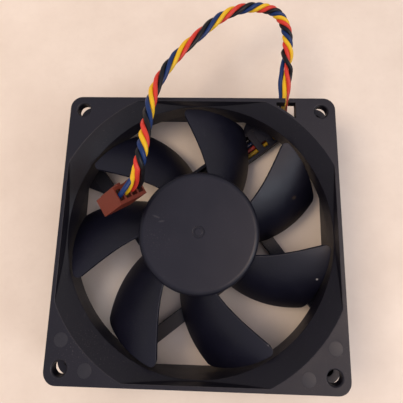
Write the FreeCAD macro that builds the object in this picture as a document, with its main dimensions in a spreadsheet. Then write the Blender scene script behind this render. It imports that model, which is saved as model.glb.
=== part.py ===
"""Square axial case fan with open corner flanges, a seven-blade rotor and a short four-wire lead.

The frame lies on its rear face: Z points out of the intake face, X and Y run along the sides.
"""
import FreeCAD, Part
import math
import os
import re

import Sketcher

# Driving dimensions in millimetres and degrees: alias, value, meaning.
DIMENSIONS = (
    ("frame_size", 92.0, "outside width and height of the square frame"),
    ("frame_depth", 25.0, "rear face to intake face"),
    ("flange_thickness", 4.0, "each corner flange"),
    ("corner_radius", 4.0, "outer corners of the flanges"),
    ("hole_inset", 4.75, "mounting hole axes, inside the frame's sides"),
    ("hole_diameter", 4.5, "mounting holes"),
    ("hole_lip", 0.35, "bevel round each mounting hole"),
    ("boss_diameter", 9.0, "screw bosses on the rear flange"),
    ("boss_height", 14.0, "screw bosses, from the rear face"),
    ("throat_inset", 1.5, "narrowest part of the air passage, inside the frame's sides"),
    ("drum_wall", 1.4, "shell round the air passage"),
    ("side_wall", 1.3, "straight walls where the mouths meet the sides"),
    ("inlet_flare", 5.5, "growth of the radius at the intake mouth"),
    ("inlet_depth", 5.6, "depth of the intake mouth"),
    ("outlet_flare", 5.0, "growth of the radius at the outlet mouth"),
    ("outlet_depth", 10.0, "depth of the outlet mouth"),
    ("base_radius", 20.0, "motor base cup"),
    ("base_floor", 1.0, "floor of the motor base cup"),
    ("base_rim", 1.2, "rim wall of the motor base cup"),
    ("base_height", 4.2, "rim of the motor base cup, from the rear face"),
    ("strut_count", 4, "struts that carry the motor base"),
    ("strut_angle", 37.5, "heading of the first strut"),
    ("strut_inset", 1.5, "strut centre line, inside the edge of the motor base"),
    ("strut_width", 4.5, "struts"),
    ("strut_height", 4.0, "struts, from the rear face"),
    ("channel_width", 10.0, "strut that holds the wires"),
    ("channel_wall", 1.2, "side walls of the wire channel"),
    ("channel_height", 8.0, "window for the wires in the shell"),
    ("channel_end", 5.0, "end of the wire channel, outside the shell"),
    ("channel_start", 4.0, "start of the wire channel along its strut"),
    ("bridge_thickness", 1.0, "bars over the wire channel"),
    ("bridge_length", 2.6, "bars over the wire channel, along the strut"),
    ("bridge_gap", 2.4, "between the shell and the bars over the wire channel, along the strut"),
    ("bridge_spacing", 9.5, "from one bar to the next"),
    ("notch_far", 20.0, "wire notch in the intake flange, its far side from the frame's side"),
    ("notch_near", 13.4, "wire notch, its near side from the frame's side"),
    ("notch_bar", 1.5, "bar that closes the wire notch"),
    ("notch_rim", 0.6, "left between wire notch and intake mouth"),
    ("slit_far", 16.8, "slit through the bar of the notch, its far side from the frame's side"),
    ("slit_width", 1.3, "slit through the bar of the notch"),
    ("tube_radius", 4.0, "brass bearing tube"),
    ("tube_wall", 0.8, "brass bearing tube"),
    ("tube_gap", 0.6, "between the brass tube and the oil washer"),
    ("socket_wall", 1.0, "frame socket round the bearing tube"),
    ("socket_height", 9.0, "seat of the stator on the socket"),
    ("ledge_radius", 7.0, "ring that carries the circuit board"),
    ("board_gap", 1.6, "under the circuit board, for the wires"),
    ("board_thickness", 1.0, "circuit board"),
    ("board_clearance", 1.2, "between the circuit board and the rim of the base"),
    ("chip_row", 8.5, "driver chip, off the fan axis"),
    ("driver_angle", 200.0, "driver chip, round the board"),
    ("driver_length", 4.0, "driver chip"),
    ("driver_width", 5.0, "driver chip"),
    ("driver_height", 1.5, "driver chip"),
    ("sensor_row", 12.8, "field sensor and resistors, off the fan axis"),
    ("sensor_length", 1.6, "field sensor"),
    ("sensor_width", 3.0, "field sensor"),
    ("sensor_height", 1.2, "field sensor"),
    ("capacitor_row", 11.0, "capacitor, off the fan axis"),
    ("capacitor_radius", 2.0, "capacitor"),
    ("capacitor_height", 2.2, "capacitor"),
    ("resistor_angle", 300.0, "first resistor, round the board"),
    ("resistor_step", 12.0, "between the resistors, round the board"),
    ("resistor_length", 2.0, "resistors"),
    ("resistor_width", 1.2, "resistors"),
    ("resistor_height", 0.6, "resistors"),
    ("shaft_radius", 1.5, "steel shaft"),
    ("shaft_clearance", 0.03, "running gap of shaft and sleeve"),
    ("clip_height", 2.6, "shaft clip, above the end of the shaft"),
    ("sleeve_drop", 0.6, "sleeve bearing below the top of its tube"),
    ("thrust_thickness", 0.6, "pad under the shaft"),
    ("thrust_gap", 0.1, "between shaft end and pad"),
    ("clip_thickness", 0.4, "clip in the groove of the shaft"),
    ("clip_radius", 2.4, "clip in the groove of the shaft"),
    ("clip_gap", 0.5, "between clip and sleeve bearing"),
    ("groove_depth", 0.35, "groove for the clip"),
    ("washer_radius", 2.8, "oil washer on the shaft"),
    ("washer_thickness", 0.3, "oil washer on the shaft"),
    ("fit_clearance", 0.02, "radial gap of pressed and glued seats"),
    ("coil_headroom", 2.6, "between the coils and the rotor cup"),
    ("core_yoke", 2.4, "ring of the core round the tube"),
    ("pole_count", 4, "stator poles and coils"),
    ("pole_width", 3.6, "neck of a pole"),
    ("shoe_depth", 2.0, "pole shoe"),
    ("shoe_gap", 2.4, "between neighbouring shoes"),
    ("bobbin_thickness", 1.0, "insulator plates"),
    ("bobbin_lip", 1.6, "lip of an insulator beyond its plate"),
    ("bobbin_margin", 0.5, "insulator arms beyond the pole neck"),
    ("coil_build", 1.5, "thickness of a winding"),
    ("coil_clearance", 0.15, "between winding and insulator arm"),
    ("air_gap", 0.45, "between stator core and magnet"),
    ("magnet_thickness", 2.2, "ring magnet"),
    ("magnet_setback", 0.5, "ring magnet, above the rim of the cup"),
    ("magnet_headroom", 2.6, "between the ring magnet and the cup's top"),
    ("yoke_thickness", 1.0, "steel cup round the magnet"),
    ("yoke_setback", 1.2, "rim of the cup, above the hub's lower edge"),
    ("bush_radius", 3.5, "brass bush of the shaft"),
    ("bush_length", 4.4, "brass bush of the shaft"),
    ("hub_radius", 19.8, "hub of the impeller"),
    ("hub_wall", 1.38, "side wall of the hub"),
    ("hub_cover", 1.4, "cover of the hub"),
    ("hub_gap", 1.6, "between the motor base and the hub"),
    ("hub_recess", 0.5, "hub cover below the intake face"),
    ("hub_edge", 1.7, "rounding of the hub's edge"),
    ("nub_radius", 1.25, "gate mark in the middle of the hub"),
    ("nub_groove", 0.7, "width of the groove round the gate mark"),
    ("nub_depth", 0.3, "depth of the groove round the gate mark"),
    ("blade_count", 7, "blades of the impeller"),
    ("tip_clearance", 1.1, "between blade tips and throat"),
    ("lead_angle", 82.2, "leading edge at the hub, about the axis"),
    ("lead_sweep", 25.2, "forward sweep of the leading edge, hub to tip"),
    ("lead_curl", -8.0, "bend of the leading edge"),
    ("trail_angle", 44.5, "trailing edge at the hub, about the axis"),
    ("trail_sweep", 25.2, "forward sweep of the trailing edge, hub to tip"),
    ("lead_drop_hub", 1.5, "leading edge below the hub cover, at the hub"),
    ("lead_drop_tip", 3.5, "leading edge below the hub cover, at the tip"),
    ("trail_rise_hub", 0.9, "trailing edge above the hub's lower edge, at the hub"),
    ("trail_rise_tip", 0.3, "trailing edge above the hub's lower edge, at the tip"),
    ("blade_camber_hub", 2.0, "bulge of a blade over its chord, at the hub"),
    ("blade_camber_tip", 2.7, "bulge of a blade over its chord, at the tip"),
    ("blade_thickness", 1.5, "middle of a blade"),
    ("blade_edge", 0.8, "edges of a blade"),
    ("blade_corner", 3.0, "rounded corner of a blade's tip, at the trailing edge"),
    ("blade_nose", 2.0, "rounded corner of a blade's tip, at the leading edge"),
    ("wire_diameter", 1.55, "insulated wire"),
    ("wire_pitch", 1.8, "wires side by side in the channel"),
    ("wire_start", 1.8, "solder end of the wires, along the channel's strut"),
    ("wire_shift", 3.6, "solder end of the wires, towards the axis from the channel"),
    ("wire_straight", 10.8, "start of the wires' straight run along the strut"),
    ("wire_level", 1.1, "run of the lowest wire before the lead"),
    ("wire_step", 1.75, "growth of that run from each wire to the next"),
    ("lead_lay", 1.15, "wires about the middle line of the lead"),
    ("exit_spread", 0.82, "side wires off the middle line, at the start of the lead"),
    ("exit_rise", 1.36, "front and back wires off the middle line, at the start of the lead"),
    ("exit_inset", 0.6, "start of the lead, inside the side of the frame"),
    ("exit_drop", 3.0, "start of the lead, under the intake flange"),
    ("wire_bend", 1.9, "bends of a wire in the frame"),
    ("plug_pitch", 2.54, "contacts of the plug"),
    ("plug_ways", 4, "contacts of the plug"),
    ("plug_margin", 0.22, "plug housing beyond the outer cavities' pitch"),
    ("plug_thickness", 5.8, "plug housing"),
    ("plug_length", 10.5, "plug housing"),
    ("cavity_width", 1.9, "cavities of the plug"),
    ("cavity_depth", 3.6, "cavities of the plug, across the housing"),
    ("cavity_floor", 1.6, "mating end of the plug below its cavities"),
    ("pin_hole", 1.1, "holes for the header pins"),
    ("rib_width", 1.2, "polarising ribs of the plug"),
    ("rib_height", 0.7, "polarising ribs of the plug"),
    ("contact_clearance", 0.1, "between contact and cavity"),
    ("contact_length", 6.5, "crimp contacts"),
)

# Middle line of the free lead, as steps away from where it leaves the frame.
LEAD_EXIT = ("(frame_size - notch_far - notch_near) / 2", "frame_size / 2 - exit_inset",
             "frame_depth - flange_thickness - exit_drop")
LEAD_STEPS = (
    (0.0, 0.0, 0.0),
    (1.2, 11.3, 1.6),
    (1.9, 21.0, 3.0),
    (1.8, 28.7, 3.9),
    (-1.4, 35.4, 4.8),
    (-8.4, 37.3, 5.8),
    (-16.2, 35.8, 6.9),
    (-23.4, 31.4, 8.1),
    (-30.3, 24.0, 9.5),
    (-36.6, 16.7, 11.0),
    (-41.7, 8.9, 12.6),
    (-44.8, 1.2, 14.4),
    (-45.7, -6.3, 17.0),
    (-45.7, -12.9, 20.4),
    (-45.7, -19.1, 23.4),
    (-46.0, -24.1, 24.8),
    (-46.6, -27.4, 24.0),
    (-47.6, -30.2, 22.0),
    (-48.8, -32.5, 19.7),
    (-50.18, -33.82, 17.71),
)
# Axes of the plug: along the row of contacts and along the housing, away from the wires.
PLUG_ROW = (0.576, 0.445, -0.686)
PLUG_AXIS = (-0.632, -0.290, -0.719)

# Sizes that follow from the driving dimensions.
THROAT_RADIUS = "(frame_size / 2 - throat_inset)"
HOLE_OFFSET = "(frame_size / 2 - hole_inset)"
STRUT_OFFSET = "(base_radius - strut_inset)"
CHANNEL_OUTER = f"({STRUT_OFFSET} + strut_width / 2)"
CHANNEL_INNER = f"({CHANNEL_OUTER} - channel_width)"
CHANNEL_MIDDLE = f"({CHANNEL_OUTER} - channel_width / 2)"
CHANNEL_MOUTH = f"sqrt({THROAT_RADIUS} ^ 2 - {CHANNEL_MIDDLE} ^ 2)"
CHANNEL_REACH = f"sqrt(({THROAT_RADIUS} + drum_wall + channel_end) ^ 2 - {CHANNEL_MIDDLE} ^ 2)"
HUB_TOP = "(frame_depth - hub_recess)"
HUB_BOTTOM = "(base_height + hub_gap)"
COVER_UNDER = f"({HUB_TOP} - hub_cover)"
BUSH_BOTTOM = f"({COVER_UNDER} - bush_length)"
TUBE_TOP = f"({BUSH_BOTTOM} - washer_thickness - tube_gap)"
SHAFT_BOTTOM = "(base_floor + thrust_thickness + thrust_gap)"
CLIP_BOTTOM = f"({SHAFT_BOTTOM} + clip_height)"
CLIP_TOP = f"({CLIP_BOTTOM} + clip_thickness)"
SLEEVE_BOTTOM = f"({CLIP_TOP} + clip_gap)"
SLEEVE_TOP = f"({TUBE_TOP} - sleeve_drop)"
BOARD_RADIUS = "(base_radius - base_rim - board_clearance)"
BOARD_BOTTOM = "(base_floor + board_gap)"
BOARD_TOP = f"({BOARD_BOTTOM} + board_thickness)"
YOKE_OUTER = "(hub_radius - hub_wall - fit_clearance)"
YOKE_BOTTOM = f"({HUB_BOTTOM} + yoke_setback)"
YOKE_UNDER = f"({COVER_UNDER} - yoke_thickness)"
MAGNET_OUTER = f"({YOKE_OUTER} - yoke_thickness - fit_clearance)"
MAGNET_INNER = f"({MAGNET_OUTER} - magnet_thickness)"
CORE_RADIUS = f"({MAGNET_INNER} - air_gap)"
CORE_BORE = "(tube_radius + fit_clearance)"
CORE_RING = f"({CORE_BORE} + core_yoke)"
CORE_BOTTOM = "(socket_height + bobbin_thickness)"
CORE_TOP = f"({YOKE_UNDER} - coil_headroom - coil_build - bobbin_thickness)"
CORE_STACK = f"({CORE_TOP} - {CORE_BOTTOM})"
SHOE_INNER = f"({CORE_RADIUS} - shoe_depth)"
PLUG_HALF = "(plug_ways * plug_pitch / 2 + plug_margin)"
FIRST_WAY = "((1 - plug_ways) * plug_pitch / 2)"
ROW_LENGTH = "((plug_ways - 1) * plug_pitch)"

doc = FreeCAD.newDocument("case_fan")
sizes = doc.addObject("Spreadsheet::Sheet", "Sizes")
for row, (alias, number, meaning) in enumerate(DIMENSIONS, start=1):
    sizes.set(f"A{row}", meaning)
    sizes.set(f"B{row}", str(number))
    sizes.setAlias(f"B{row}", alias)
doc.recompute()

ALIASES = {alias for alias, _, _ in DIMENSIONS}
PARTS = []


def value(formula):
    """Number that a formula of sheet aliases gives."""
    return float(sizes.evalExpression(formula))


def linked(formula):
    """The formula with each alias written as a link to the sheet."""
    return re.sub("[a-z_]+", lambda word: "Sizes." + word[0] if word[0] in ALIASES else word[0], formula)


def link(obj, formulas):
    """Bind properties of an object to formulas of sheet aliases."""
    for path, formula in formulas.items():
        obj.setExpression(path, linked(formula))
    return obj


def sub_part(obj, label):
    """Name an object as one piece of the fan."""
    obj.Label = label
    PARTS.append(obj)
    return obj


# Part primitives and booleans.

def cylinder(name, radius, height, x="0", y="0", z="0"):
    """Upright cylinder that stands at x, y, z."""
    return link(doc.addObject("Part::Cylinder", name), {
        "Radius": radius, "Height": height,
        "Placement.Base.x": x, "Placement.Base.y": y, "Placement.Base.z": z})


def box(name, low, high):
    """Box between two corners, each given as three formulas."""
    spans = [f"({stop}) - ({start})" for start, stop in zip(low, high)]
    return link(doc.addObject("Part::Box", name), {
        "Length": spans[0], "Width": spans[1], "Height": spans[2],
        "Placement.Base.x": low[0], "Placement.Base.y": low[1], "Placement.Base.z": low[2]})


def strut_box(name, number, low, high):
    """Box along a strut: along it, off the fan axis and upwards."""
    heading = f"(strut_angle + {number} * 360 / strut_count)"
    bar = box(name, low, high)
    return link(bar, {
        "Placement.Base.x": f"cos({heading}) * ({low[0]}) - sin({heading}) * ({low[1]})",
        "Placement.Base.y": f"sin({heading}) * ({low[0]}) + cos({heading}) * ({low[1]})",
        "Placement.Rotation.Angle": heading})


def fuse(name, shapes):
    """Union of several objects."""
    union = doc.addObject("Part::MultiFuse", name)
    union.Shapes = shapes
    union.Refine = True
    return union


def cut(name, base, tools):
    """An object less the union of its tools."""
    difference = doc.addObject("Part::Cut", name)
    difference.Base = base
    difference.Tool = tools[0] if len(tools) == 1 else fuse(name + "_tools", tools)
    difference.Refine = True
    return difference


def common(name, first, second):
    """What two objects share."""
    shared = doc.addObject("Part::MultiCommon", name)
    shared.Shapes = [first, second]
    return shared


# Bodies with sketches.

def new_body(name):
    """Empty body."""
    return doc.addObject("PartDesign::Body", name)


def origin_feature(body, role):
    """Plane or axis of a body's own origin."""
    return next(feature for feature in body.Origin.OriginFeatures if feature.Role == role)


def new_sketch(body, name, plane="XY_Plane", lift="0"):
    """Sketch on an origin plane of its body, lifted along the plane's normal."""
    sketch = body.newObject("Sketcher::SketchObject", name)
    sketch.AttachmentSupport = (origin_feature(body, plane), [""])
    sketch.MapMode = "FlatFace"
    return link(sketch, {"AttachmentOffset.Base.z": lift})


def place_point(sketch, edge, end, x, y):
    """Hold one end of an edge, or the centre of a circle, at x and y."""
    for kind, axis, formula in (("DistanceX", -2, x), ("DistanceY", -1, y)):
        if value(formula) == 0:
            sketch.addConstraint(Sketcher.Constraint("PointOnObject", edge, end, axis))
        else:
            number = sketch.addConstraint(Sketcher.Constraint(kind, -1, 1, edge, end, value(formula)))
            link(sketch, {f"Constraints[{number}]": formula})


def draw_polygon(sketch, corners):
    """Closed outline of straight edges between corners given as formulas."""
    points = [FreeCAD.Vector(value(x), value(y), 0) for x, y in corners]
    first = len(sketch.Geometry)
    for number, point in enumerate(points):
        sketch.addGeometry(Part.LineSegment(point, points[(number + 1) % len(points)]))
    for number, (x, y) in enumerate(corners):
        following = first + (number + 1) % len(corners)
        sketch.addConstraint(Sketcher.Constraint("Coincident", first + number, 2, following, 1))
        place_point(sketch, first + number, 1, x, y)


def draw_circle(sketch, radius, x="0", y="0"):
    """Circle about x, y."""
    centre = FreeCAD.Vector(value(x), value(y), 0)
    edge = sketch.addGeometry(Part.Circle(centre, FreeCAD.Vector(0, 0, 1), value(radius)))
    place_point(sketch, edge, 3, x, y)
    number = sketch.addConstraint(Sketcher.Constraint("Radius", edge, value(radius)))
    link(sketch, {f"Constraints[{number}]": radius})


def draw_rectangle(sketch, left, right, bottom, top):
    """Upright rectangle."""
    draw_polygon(sketch, ((left, bottom), (right, bottom), (right, top), (left, top)))


def pad(body, sketch, length):
    """Boss of a sketch along its normal."""
    feature = body.newObject("PartDesign::Pad", sketch.Name + "_pad")
    feature.Profile = sketch
    return link(feature, {"Length": length})


def pocket(body, sketch, length):
    """Cut of a sketch along its normal."""
    feature = body.newObject("PartDesign::Pocket", sketch.Name + "_pocket")
    feature.Profile = sketch
    feature.Reversed = True
    return link(feature, {"Length": length})


def polar_pattern(body, feature, count):
    """Copies of a feature about the body's own Z axis."""
    pattern = body.newObject("PartDesign::PolarPattern", feature.Name + "_ring")
    pattern.Originals = [feature]
    pattern.Axis = (origin_feature(body, "Z_Axis"), [""])
    pattern.Angle = 360
    link(pattern, {"Occurrences": count})
    body.Tip = pattern
    return pattern


def row_pattern(body, feature, length, count):
    """Copies of a feature in a row along the body's own X axis."""
    pattern = body.newObject("PartDesign::LinearPattern", feature.Name + "_row")
    pattern.Originals = [feature]
    pattern.Direction = (origin_feature(body, "X_Axis"), [""])
    link(pattern, {"Length": length, "Occurrences": count})
    body.Tip = pattern
    return pattern


def revolved(name, corners):
    """Body turned about Z from a half section of radius and height pairs."""
    body = new_body(name)
    sketch = new_sketch(body, name + "_section", "XZ_Plane")
    draw_polygon(sketch, corners)
    feature = body.newObject("PartDesign::Revolution", name + "_turn")
    feature.Profile = sketch
    feature.ReferenceAxis = (sketch, ["V_Axis"])
    feature.Angle = 360
    return body


def ring(name, inner, outer, bottom, top):
    """Turned ring of rectangular section."""
    return revolved(name, ((inner, bottom), (outer, bottom), (outer, top), (inner, top)))


# Frame: two corner flanges on a drum, a motor base on tangent struts and the wire's way out.

def flange(name, bottom):
    """Square plate with rounded corners."""
    half = "frame_size / 2"
    top = f"{bottom} + flange_thickness"
    plate = box(name + "_plate", (f"-{half}", f"-{half}", bottom), (half, half, top))
    doc.recompute()
    upright = [number for number, edge in enumerate(plate.Shape.Edges, start=1)
               if abs(edge.tangentAt(edge.FirstParameter).z) > 0.99]
    rounded = doc.addObject("Part::Fillet", name)
    rounded.Base = plate
    rounded.Edges = [(number, value("corner_radius"), value("corner_radius")) for number in upright]
    return rounded


def air_passage():
    """Throat with conical mouths, cut straight at the four sides of the frame."""
    reach = "frame_size"
    turned = revolved("passage_turn", (
        ("0", "0"), (f"{THROAT_RADIUS} + outlet_flare", "0"),
        (THROAT_RADIUS, "outlet_depth"), (THROAT_RADIUS, "frame_depth - inlet_depth"),
        (f"{THROAT_RADIUS} + inlet_flare", "frame_depth"), ("0", "frame_depth")))
    half = "(frame_size / 2 - side_wall)"
    sides = box("passage_sides", (f"-{half}", f"-{half}", f"-{reach}"), (half, half, reach))
    return common("air_passage", turned, sides)


def drum_shell():
    """Shell round the air passage, flared with both mouths inside the frame's square."""
    outer, half = f"({THROAT_RADIUS} + drum_wall)", "frame_size / 2"
    turned = revolved("drum_turn", (
        ("0", "0"), (f"{outer} + outlet_flare", "0"),
        (outer, "outlet_depth"), (outer, "frame_depth - inlet_depth"),
        (f"{outer} + inlet_flare", "frame_depth"), ("0", "frame_depth")))
    square = box("drum_square", (f"-{half}", f"-{half}", "0"), (half, half, "frame_depth"))
    return common("drum", turned, square)


def mounting_holes():
    """Bosses on the rear flange, and the holes with their bevels as cutters."""
    bosses, cutters = [], []
    for number in range(4):
        x = HOLE_OFFSET if number % 2 else "-" + HOLE_OFFSET
        y = HOLE_OFFSET if number // 2 else "-" + HOLE_OFFSET
        bosses.append(cylinder(f"screw_boss_{number}", "boss_diameter / 2", "boss_height", x, y))
        cutters.append(cylinder(f"screw_hole_{number}", "hole_diameter / 2", "frame_depth", x, y))
        bevel = doc.addObject("Part::Cone", f"screw_bevel_{number}")
        cutters.append(link(bevel, {
            "Radius1": "hole_diameter / 2", "Radius2": "hole_diameter / 2 + hole_lip", "Height": "hole_lip",
            "Placement.Base.x": x, "Placement.Base.y": y, "Placement.Base.z": "frame_depth - hole_lip"}))
    return bosses, cutters


def wire_notch():
    """Hooked notch in the intake flange, outside the intake mouth, and its slit."""
    bottom, top = "frame_depth - flange_thickness", "frame_depth"
    edge = "frame_size / 2"
    room = box("notch_room", (f"{edge} - notch_far", "0", bottom),
               (f"{edge} - notch_near", f"{edge} - notch_bar", top))
    keep = cylinder("notch_keep", f"{THROAT_RADIUS} + inlet_flare + notch_rim", "frame_depth")
    slit = box("notch_slit", (f"{edge} - slit_far", f"{edge} - notch_bar", bottom),
               (f"{edge} - slit_far + slit_width", edge, top))
    return [cut("notch", room, [keep]), slit]


def make_frame():
    """Moulded frame."""
    bosses, hole_cutters = mounting_holes()
    blank = fuse("frame_blank", [
        flange("rear_flange", "0"), flange("front_flange", "frame_depth - flange_thickness"),
        drum_shell(), *bosses])
    shell = cut("frame_shell", blank, [air_passage()])
    reach = "frame_size"
    struts = [
        strut_box(f"strut_{number}", number,
                  ("0", f"{STRUT_OFFSET} - strut_width / 2", "0"), (reach, CHANNEL_OUTER, "strut_height"))
        for number in range(int(value("strut_count")))]
    struts.append(strut_box("channel_strut", 0,
                            ("0", CHANNEL_INNER, "0"), (reach, CHANNEL_OUTER, "strut_height")))
    ends = cylinder("strut_ends", f"{THROAT_RADIUS} + outlet_flare + drum_wall / 2", "strut_height")
    spider = common("spider", fuse("strut_bars", struts), ends)
    moulding = fuse("moulding", [shell, spider, cylinder("base_disc", "base_radius", "base_height")])
    inside = cylinder("base_inside", "base_radius - base_rim", "frame_depth", z="base_floor")
    trough = strut_box("channel_trough", 0,
                       ("channel_start", f"{CHANNEL_INNER} + channel_wall", "base_floor"),
                       (CHANNEL_REACH, f"{CHANNEL_OUTER} - channel_wall", "channel_height"))
    carved = cut("carved", moulding, [inside, trough, *hole_cutters, *wire_notch()])
    bridges = []
    for number in range(2):
        end = f"({CHANNEL_MOUTH} - bridge_gap - {number} * bridge_spacing)"
        bridges.append(strut_box(f"channel_bridge_{number}", 0,
                                 (f"{end} - bridge_length", CHANNEL_INNER, "strut_height - bridge_thickness"),
                                 (end, CHANNEL_OUTER, "strut_height")))
    socket = cylinder("tube_socket", "tube_radius + socket_wall", "socket_height")
    ledge = cylinder("board_ledge", "ledge_radius", "base_floor + board_gap")
    bore = cylinder("tube_bore", "tube_radius + fit_clearance", "frame_depth", z="base_floor")
    sub_part(cut("frame", fuse("frame_whole", [carved, socket, ledge, *bridges]), [bore]), "frame")


# Bearing: a brass tube in the frame holds the sleeve; the shaft stands on a pad.


def make_bearing():
    """Brass tube, sleeve bearing and thrust pad, all still with the frame."""
    bore = "(tube_radius - tube_wall)"
    sub_part(ring("bearing_tube", bore, "tube_radius", "base_floor", TUBE_TOP), "bearing_tube")
    sub_part(ring("sleeve_bearing", "shaft_radius + shaft_clearance", f"{bore} - fit_clearance",
                  SLEEVE_BOTTOM, SLEEVE_TOP), "sleeve_bearing")
    sub_part(ring("thrust_pad", "0", f"{bore} - fit_clearance", "base_floor",
                  "base_floor + thrust_thickness"), "thrust_pad")


def make_shaft():
    """Steel shaft with its clip, oil washer and bush, all turning with the impeller."""
    groove = "(shaft_radius - groove_depth)"
    sub_part(revolved("shaft", (
        ("0", SHAFT_BOTTOM), ("shaft_radius", SHAFT_BOTTOM), ("shaft_radius", CLIP_BOTTOM),
        (groove, CLIP_BOTTOM), (groove, CLIP_TOP), ("shaft_radius", CLIP_TOP),
        ("shaft_radius", COVER_UNDER), ("0", COVER_UNDER))), "shaft")
    sub_part(ring("shaft_clip", groove, "clip_radius", CLIP_BOTTOM, CLIP_TOP), "shaft_clip")
    sub_part(ring("oil_washer", "shaft_radius", "washer_radius",
                  f"{BUSH_BOTTOM} - washer_thickness", BUSH_BOTTOM), "oil_washer")
    sub_part(ring("shaft_bush", "shaft_radius", "bush_radius", BUSH_BOTTOM, COVER_UNDER), "shaft_bush")


# Stator: a laminated core between two insulators, with one coil on each pole.


def stator_spider(name, bottom, height, ring_radius, arm_width, arm_end):
    """Ring round the tube with one arm for each pole."""
    body = new_body(name)
    hub = new_sketch(body, name + "_hub", lift=bottom)
    draw_circle(hub, ring_radius)
    draw_circle(hub, CORE_BORE)
    pad(body, hub, height)
    arm = new_sketch(body, name + "_arm", lift=bottom)
    half = f"{arm_width} / 2"
    draw_rectangle(arm, f"({CORE_BORE} + {ring_radius}) / 2", arm_end, f"-{half}", half)
    polar_pattern(body, pad(body, arm, height), "pole_count")
    return body


def make_core():
    """Lamination stack with curved pole shoes."""
    spider = stator_spider("core_spider", CORE_BOTTOM, CORE_STACK, CORE_RING, "pole_width",
                           f"{SHOE_INNER} + shoe_depth / 2")
    shoes = ring("core_shoes", SHOE_INNER, CORE_RADIUS, CORE_BOTTOM, CORE_TOP)
    gaps = []
    for number in range(int(value("pole_count"))):
        heading = f"(({number} + 0.5) * 360 / pole_count)"
        slot = box(f"shoe_gap_{number}", ("0", "0", CORE_BOTTOM), ("frame_size", "shoe_gap", CORE_TOP))
        gaps.append(link(slot, {
            "Placement.Rotation.Angle": heading,
            "Placement.Base.x": f"sin({heading}) * shoe_gap / 2",
            "Placement.Base.y": f"-cos({heading}) * shoe_gap / 2"}))
    sub_part(fuse("core", [spider, cut("core_split_shoes", shoes, gaps)]), "stator_core")


def make_bobbin(name, plate_bottom, lip_bottom):
    """Insulator plate with a lip that holds the windings off the magnet."""
    arm_width = "(pole_width + 2 * bobbin_margin)"
    half = f"{arm_width} / 2"
    plate = stator_spider(name + "_plate", plate_bottom, "bobbin_thickness", CORE_RING, arm_width,
                          CORE_RADIUS)
    lip = new_sketch(plate, name + "_lip", lift=lip_bottom)
    draw_rectangle(lip, SHOE_INNER, f"{SHOE_INNER} + bobbin_thickness", f"-{half}", half)
    polar_pattern(plate, pad(plate, lip, "bobbin_lip"), "pole_count")
    sub_part(plate, name)


def make_coils():
    """One winding round each pole, on the insulators' arms."""
    inside = "(pole_width / 2 + bobbin_margin + coil_clearance)"
    low, high = f"({CORE_BOTTOM} - bobbin_thickness)", f"({CORE_TOP} + bobbin_thickness)"
    outside = f"({inside} + coil_build)"
    start = f"({CORE_RING} + coil_clearance)"
    stop = f"(sqrt({SHOE_INNER} ^ 2 - {outside} ^ 2) - coil_clearance)"
    for number in range(int(value("pole_count"))):
        body = new_body(f"coil_{number + 1}")
        block = new_sketch(body, f"coil_{number + 1}_block", "YZ_Plane", start)
        draw_rectangle(block, f"-{outside}", outside, f"{low} - coil_build", f"{high} + coil_build")
        draw_rectangle(block, f"-{inside}", inside, low, high)
        pad(body, block, f"{stop} - {start}")
        link(body, {"Placement.Rotation.Angle": f"{number} * 360 / pole_count"})
        sub_part(body, f"stator_coil_{number + 1}")


# Circuit board under the stator, with its parts on top.


def board_block(name, angle, radius, length, width, height):
    """Small package on the board, at an angle and a radius about the axis, turned to the axis."""
    package = box(name, ("0", "0", BOARD_TOP), (length, width, f"{BOARD_TOP} + {height}"))
    return link(package, {
        "Placement.Base.x": f"cos({angle}) * ({radius}) + sin({angle}) * {width} / 2",
        "Placement.Base.y": f"sin({angle}) * ({radius}) - cos({angle}) * {width} / 2",
        "Placement.Rotation.Angle": angle})


def make_board():
    """Round board with the driver, the field sensor, a capacitor and three resistors."""
    board = new_body("board")
    outline = new_sketch(board, "board_outline", lift=BOARD_BOTTOM)
    draw_circle(outline, BOARD_RADIUS)
    draw_circle(outline, "tube_radius + socket_wall + fit_clearance")
    pad(board, outline, "board_thickness")
    sub_part(board, "circuit_board")
    sub_part(board_block("driver", "driver_angle", "chip_row", "driver_length", "driver_width",
                         "driver_height"), "driver_chip")
    sub_part(board_block("sensor", "180 / pole_count", "sensor_row", "sensor_length", "sensor_width",
                         "sensor_height"), "hall_sensor")
    sub_part(cylinder("capacitor", "capacitor_radius", "capacitor_height", "0", "-capacitor_row", BOARD_TOP),
             "board_capacitor")
    resistors = doc.addObject("Part::Compound", "resistors")
    resistors.Links = [
        board_block(f"resistor_{number}", f"resistor_angle + {number} * resistor_step", "sensor_row",
                    "resistor_length", "resistor_width", "resistor_height") for number in range(3)]
    sub_part(resistors, "board_resistors")


# Rotor: the impeller's hub holds a steel cup with the ring magnet.


def make_rotor_cup():
    """Steel cup and ring magnet."""
    inner = f"({YOKE_OUTER} - yoke_thickness)"
    sub_part(revolved("rotor_yoke", (
        ("bush_radius + fit_clearance", YOKE_UNDER), (inner, YOKE_UNDER), (inner, YOKE_BOTTOM),
        (YOKE_OUTER, YOKE_BOTTOM), (YOKE_OUTER, COVER_UNDER),
        ("bush_radius + fit_clearance", COVER_UNDER))), "rotor_yoke")
    sub_part(ring("magnet", MAGNET_INNER, MAGNET_OUTER, f"{YOKE_BOTTOM} + magnet_setback",
                  f"{YOKE_UNDER} - magnet_headroom"), "rotor_magnet")


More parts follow.
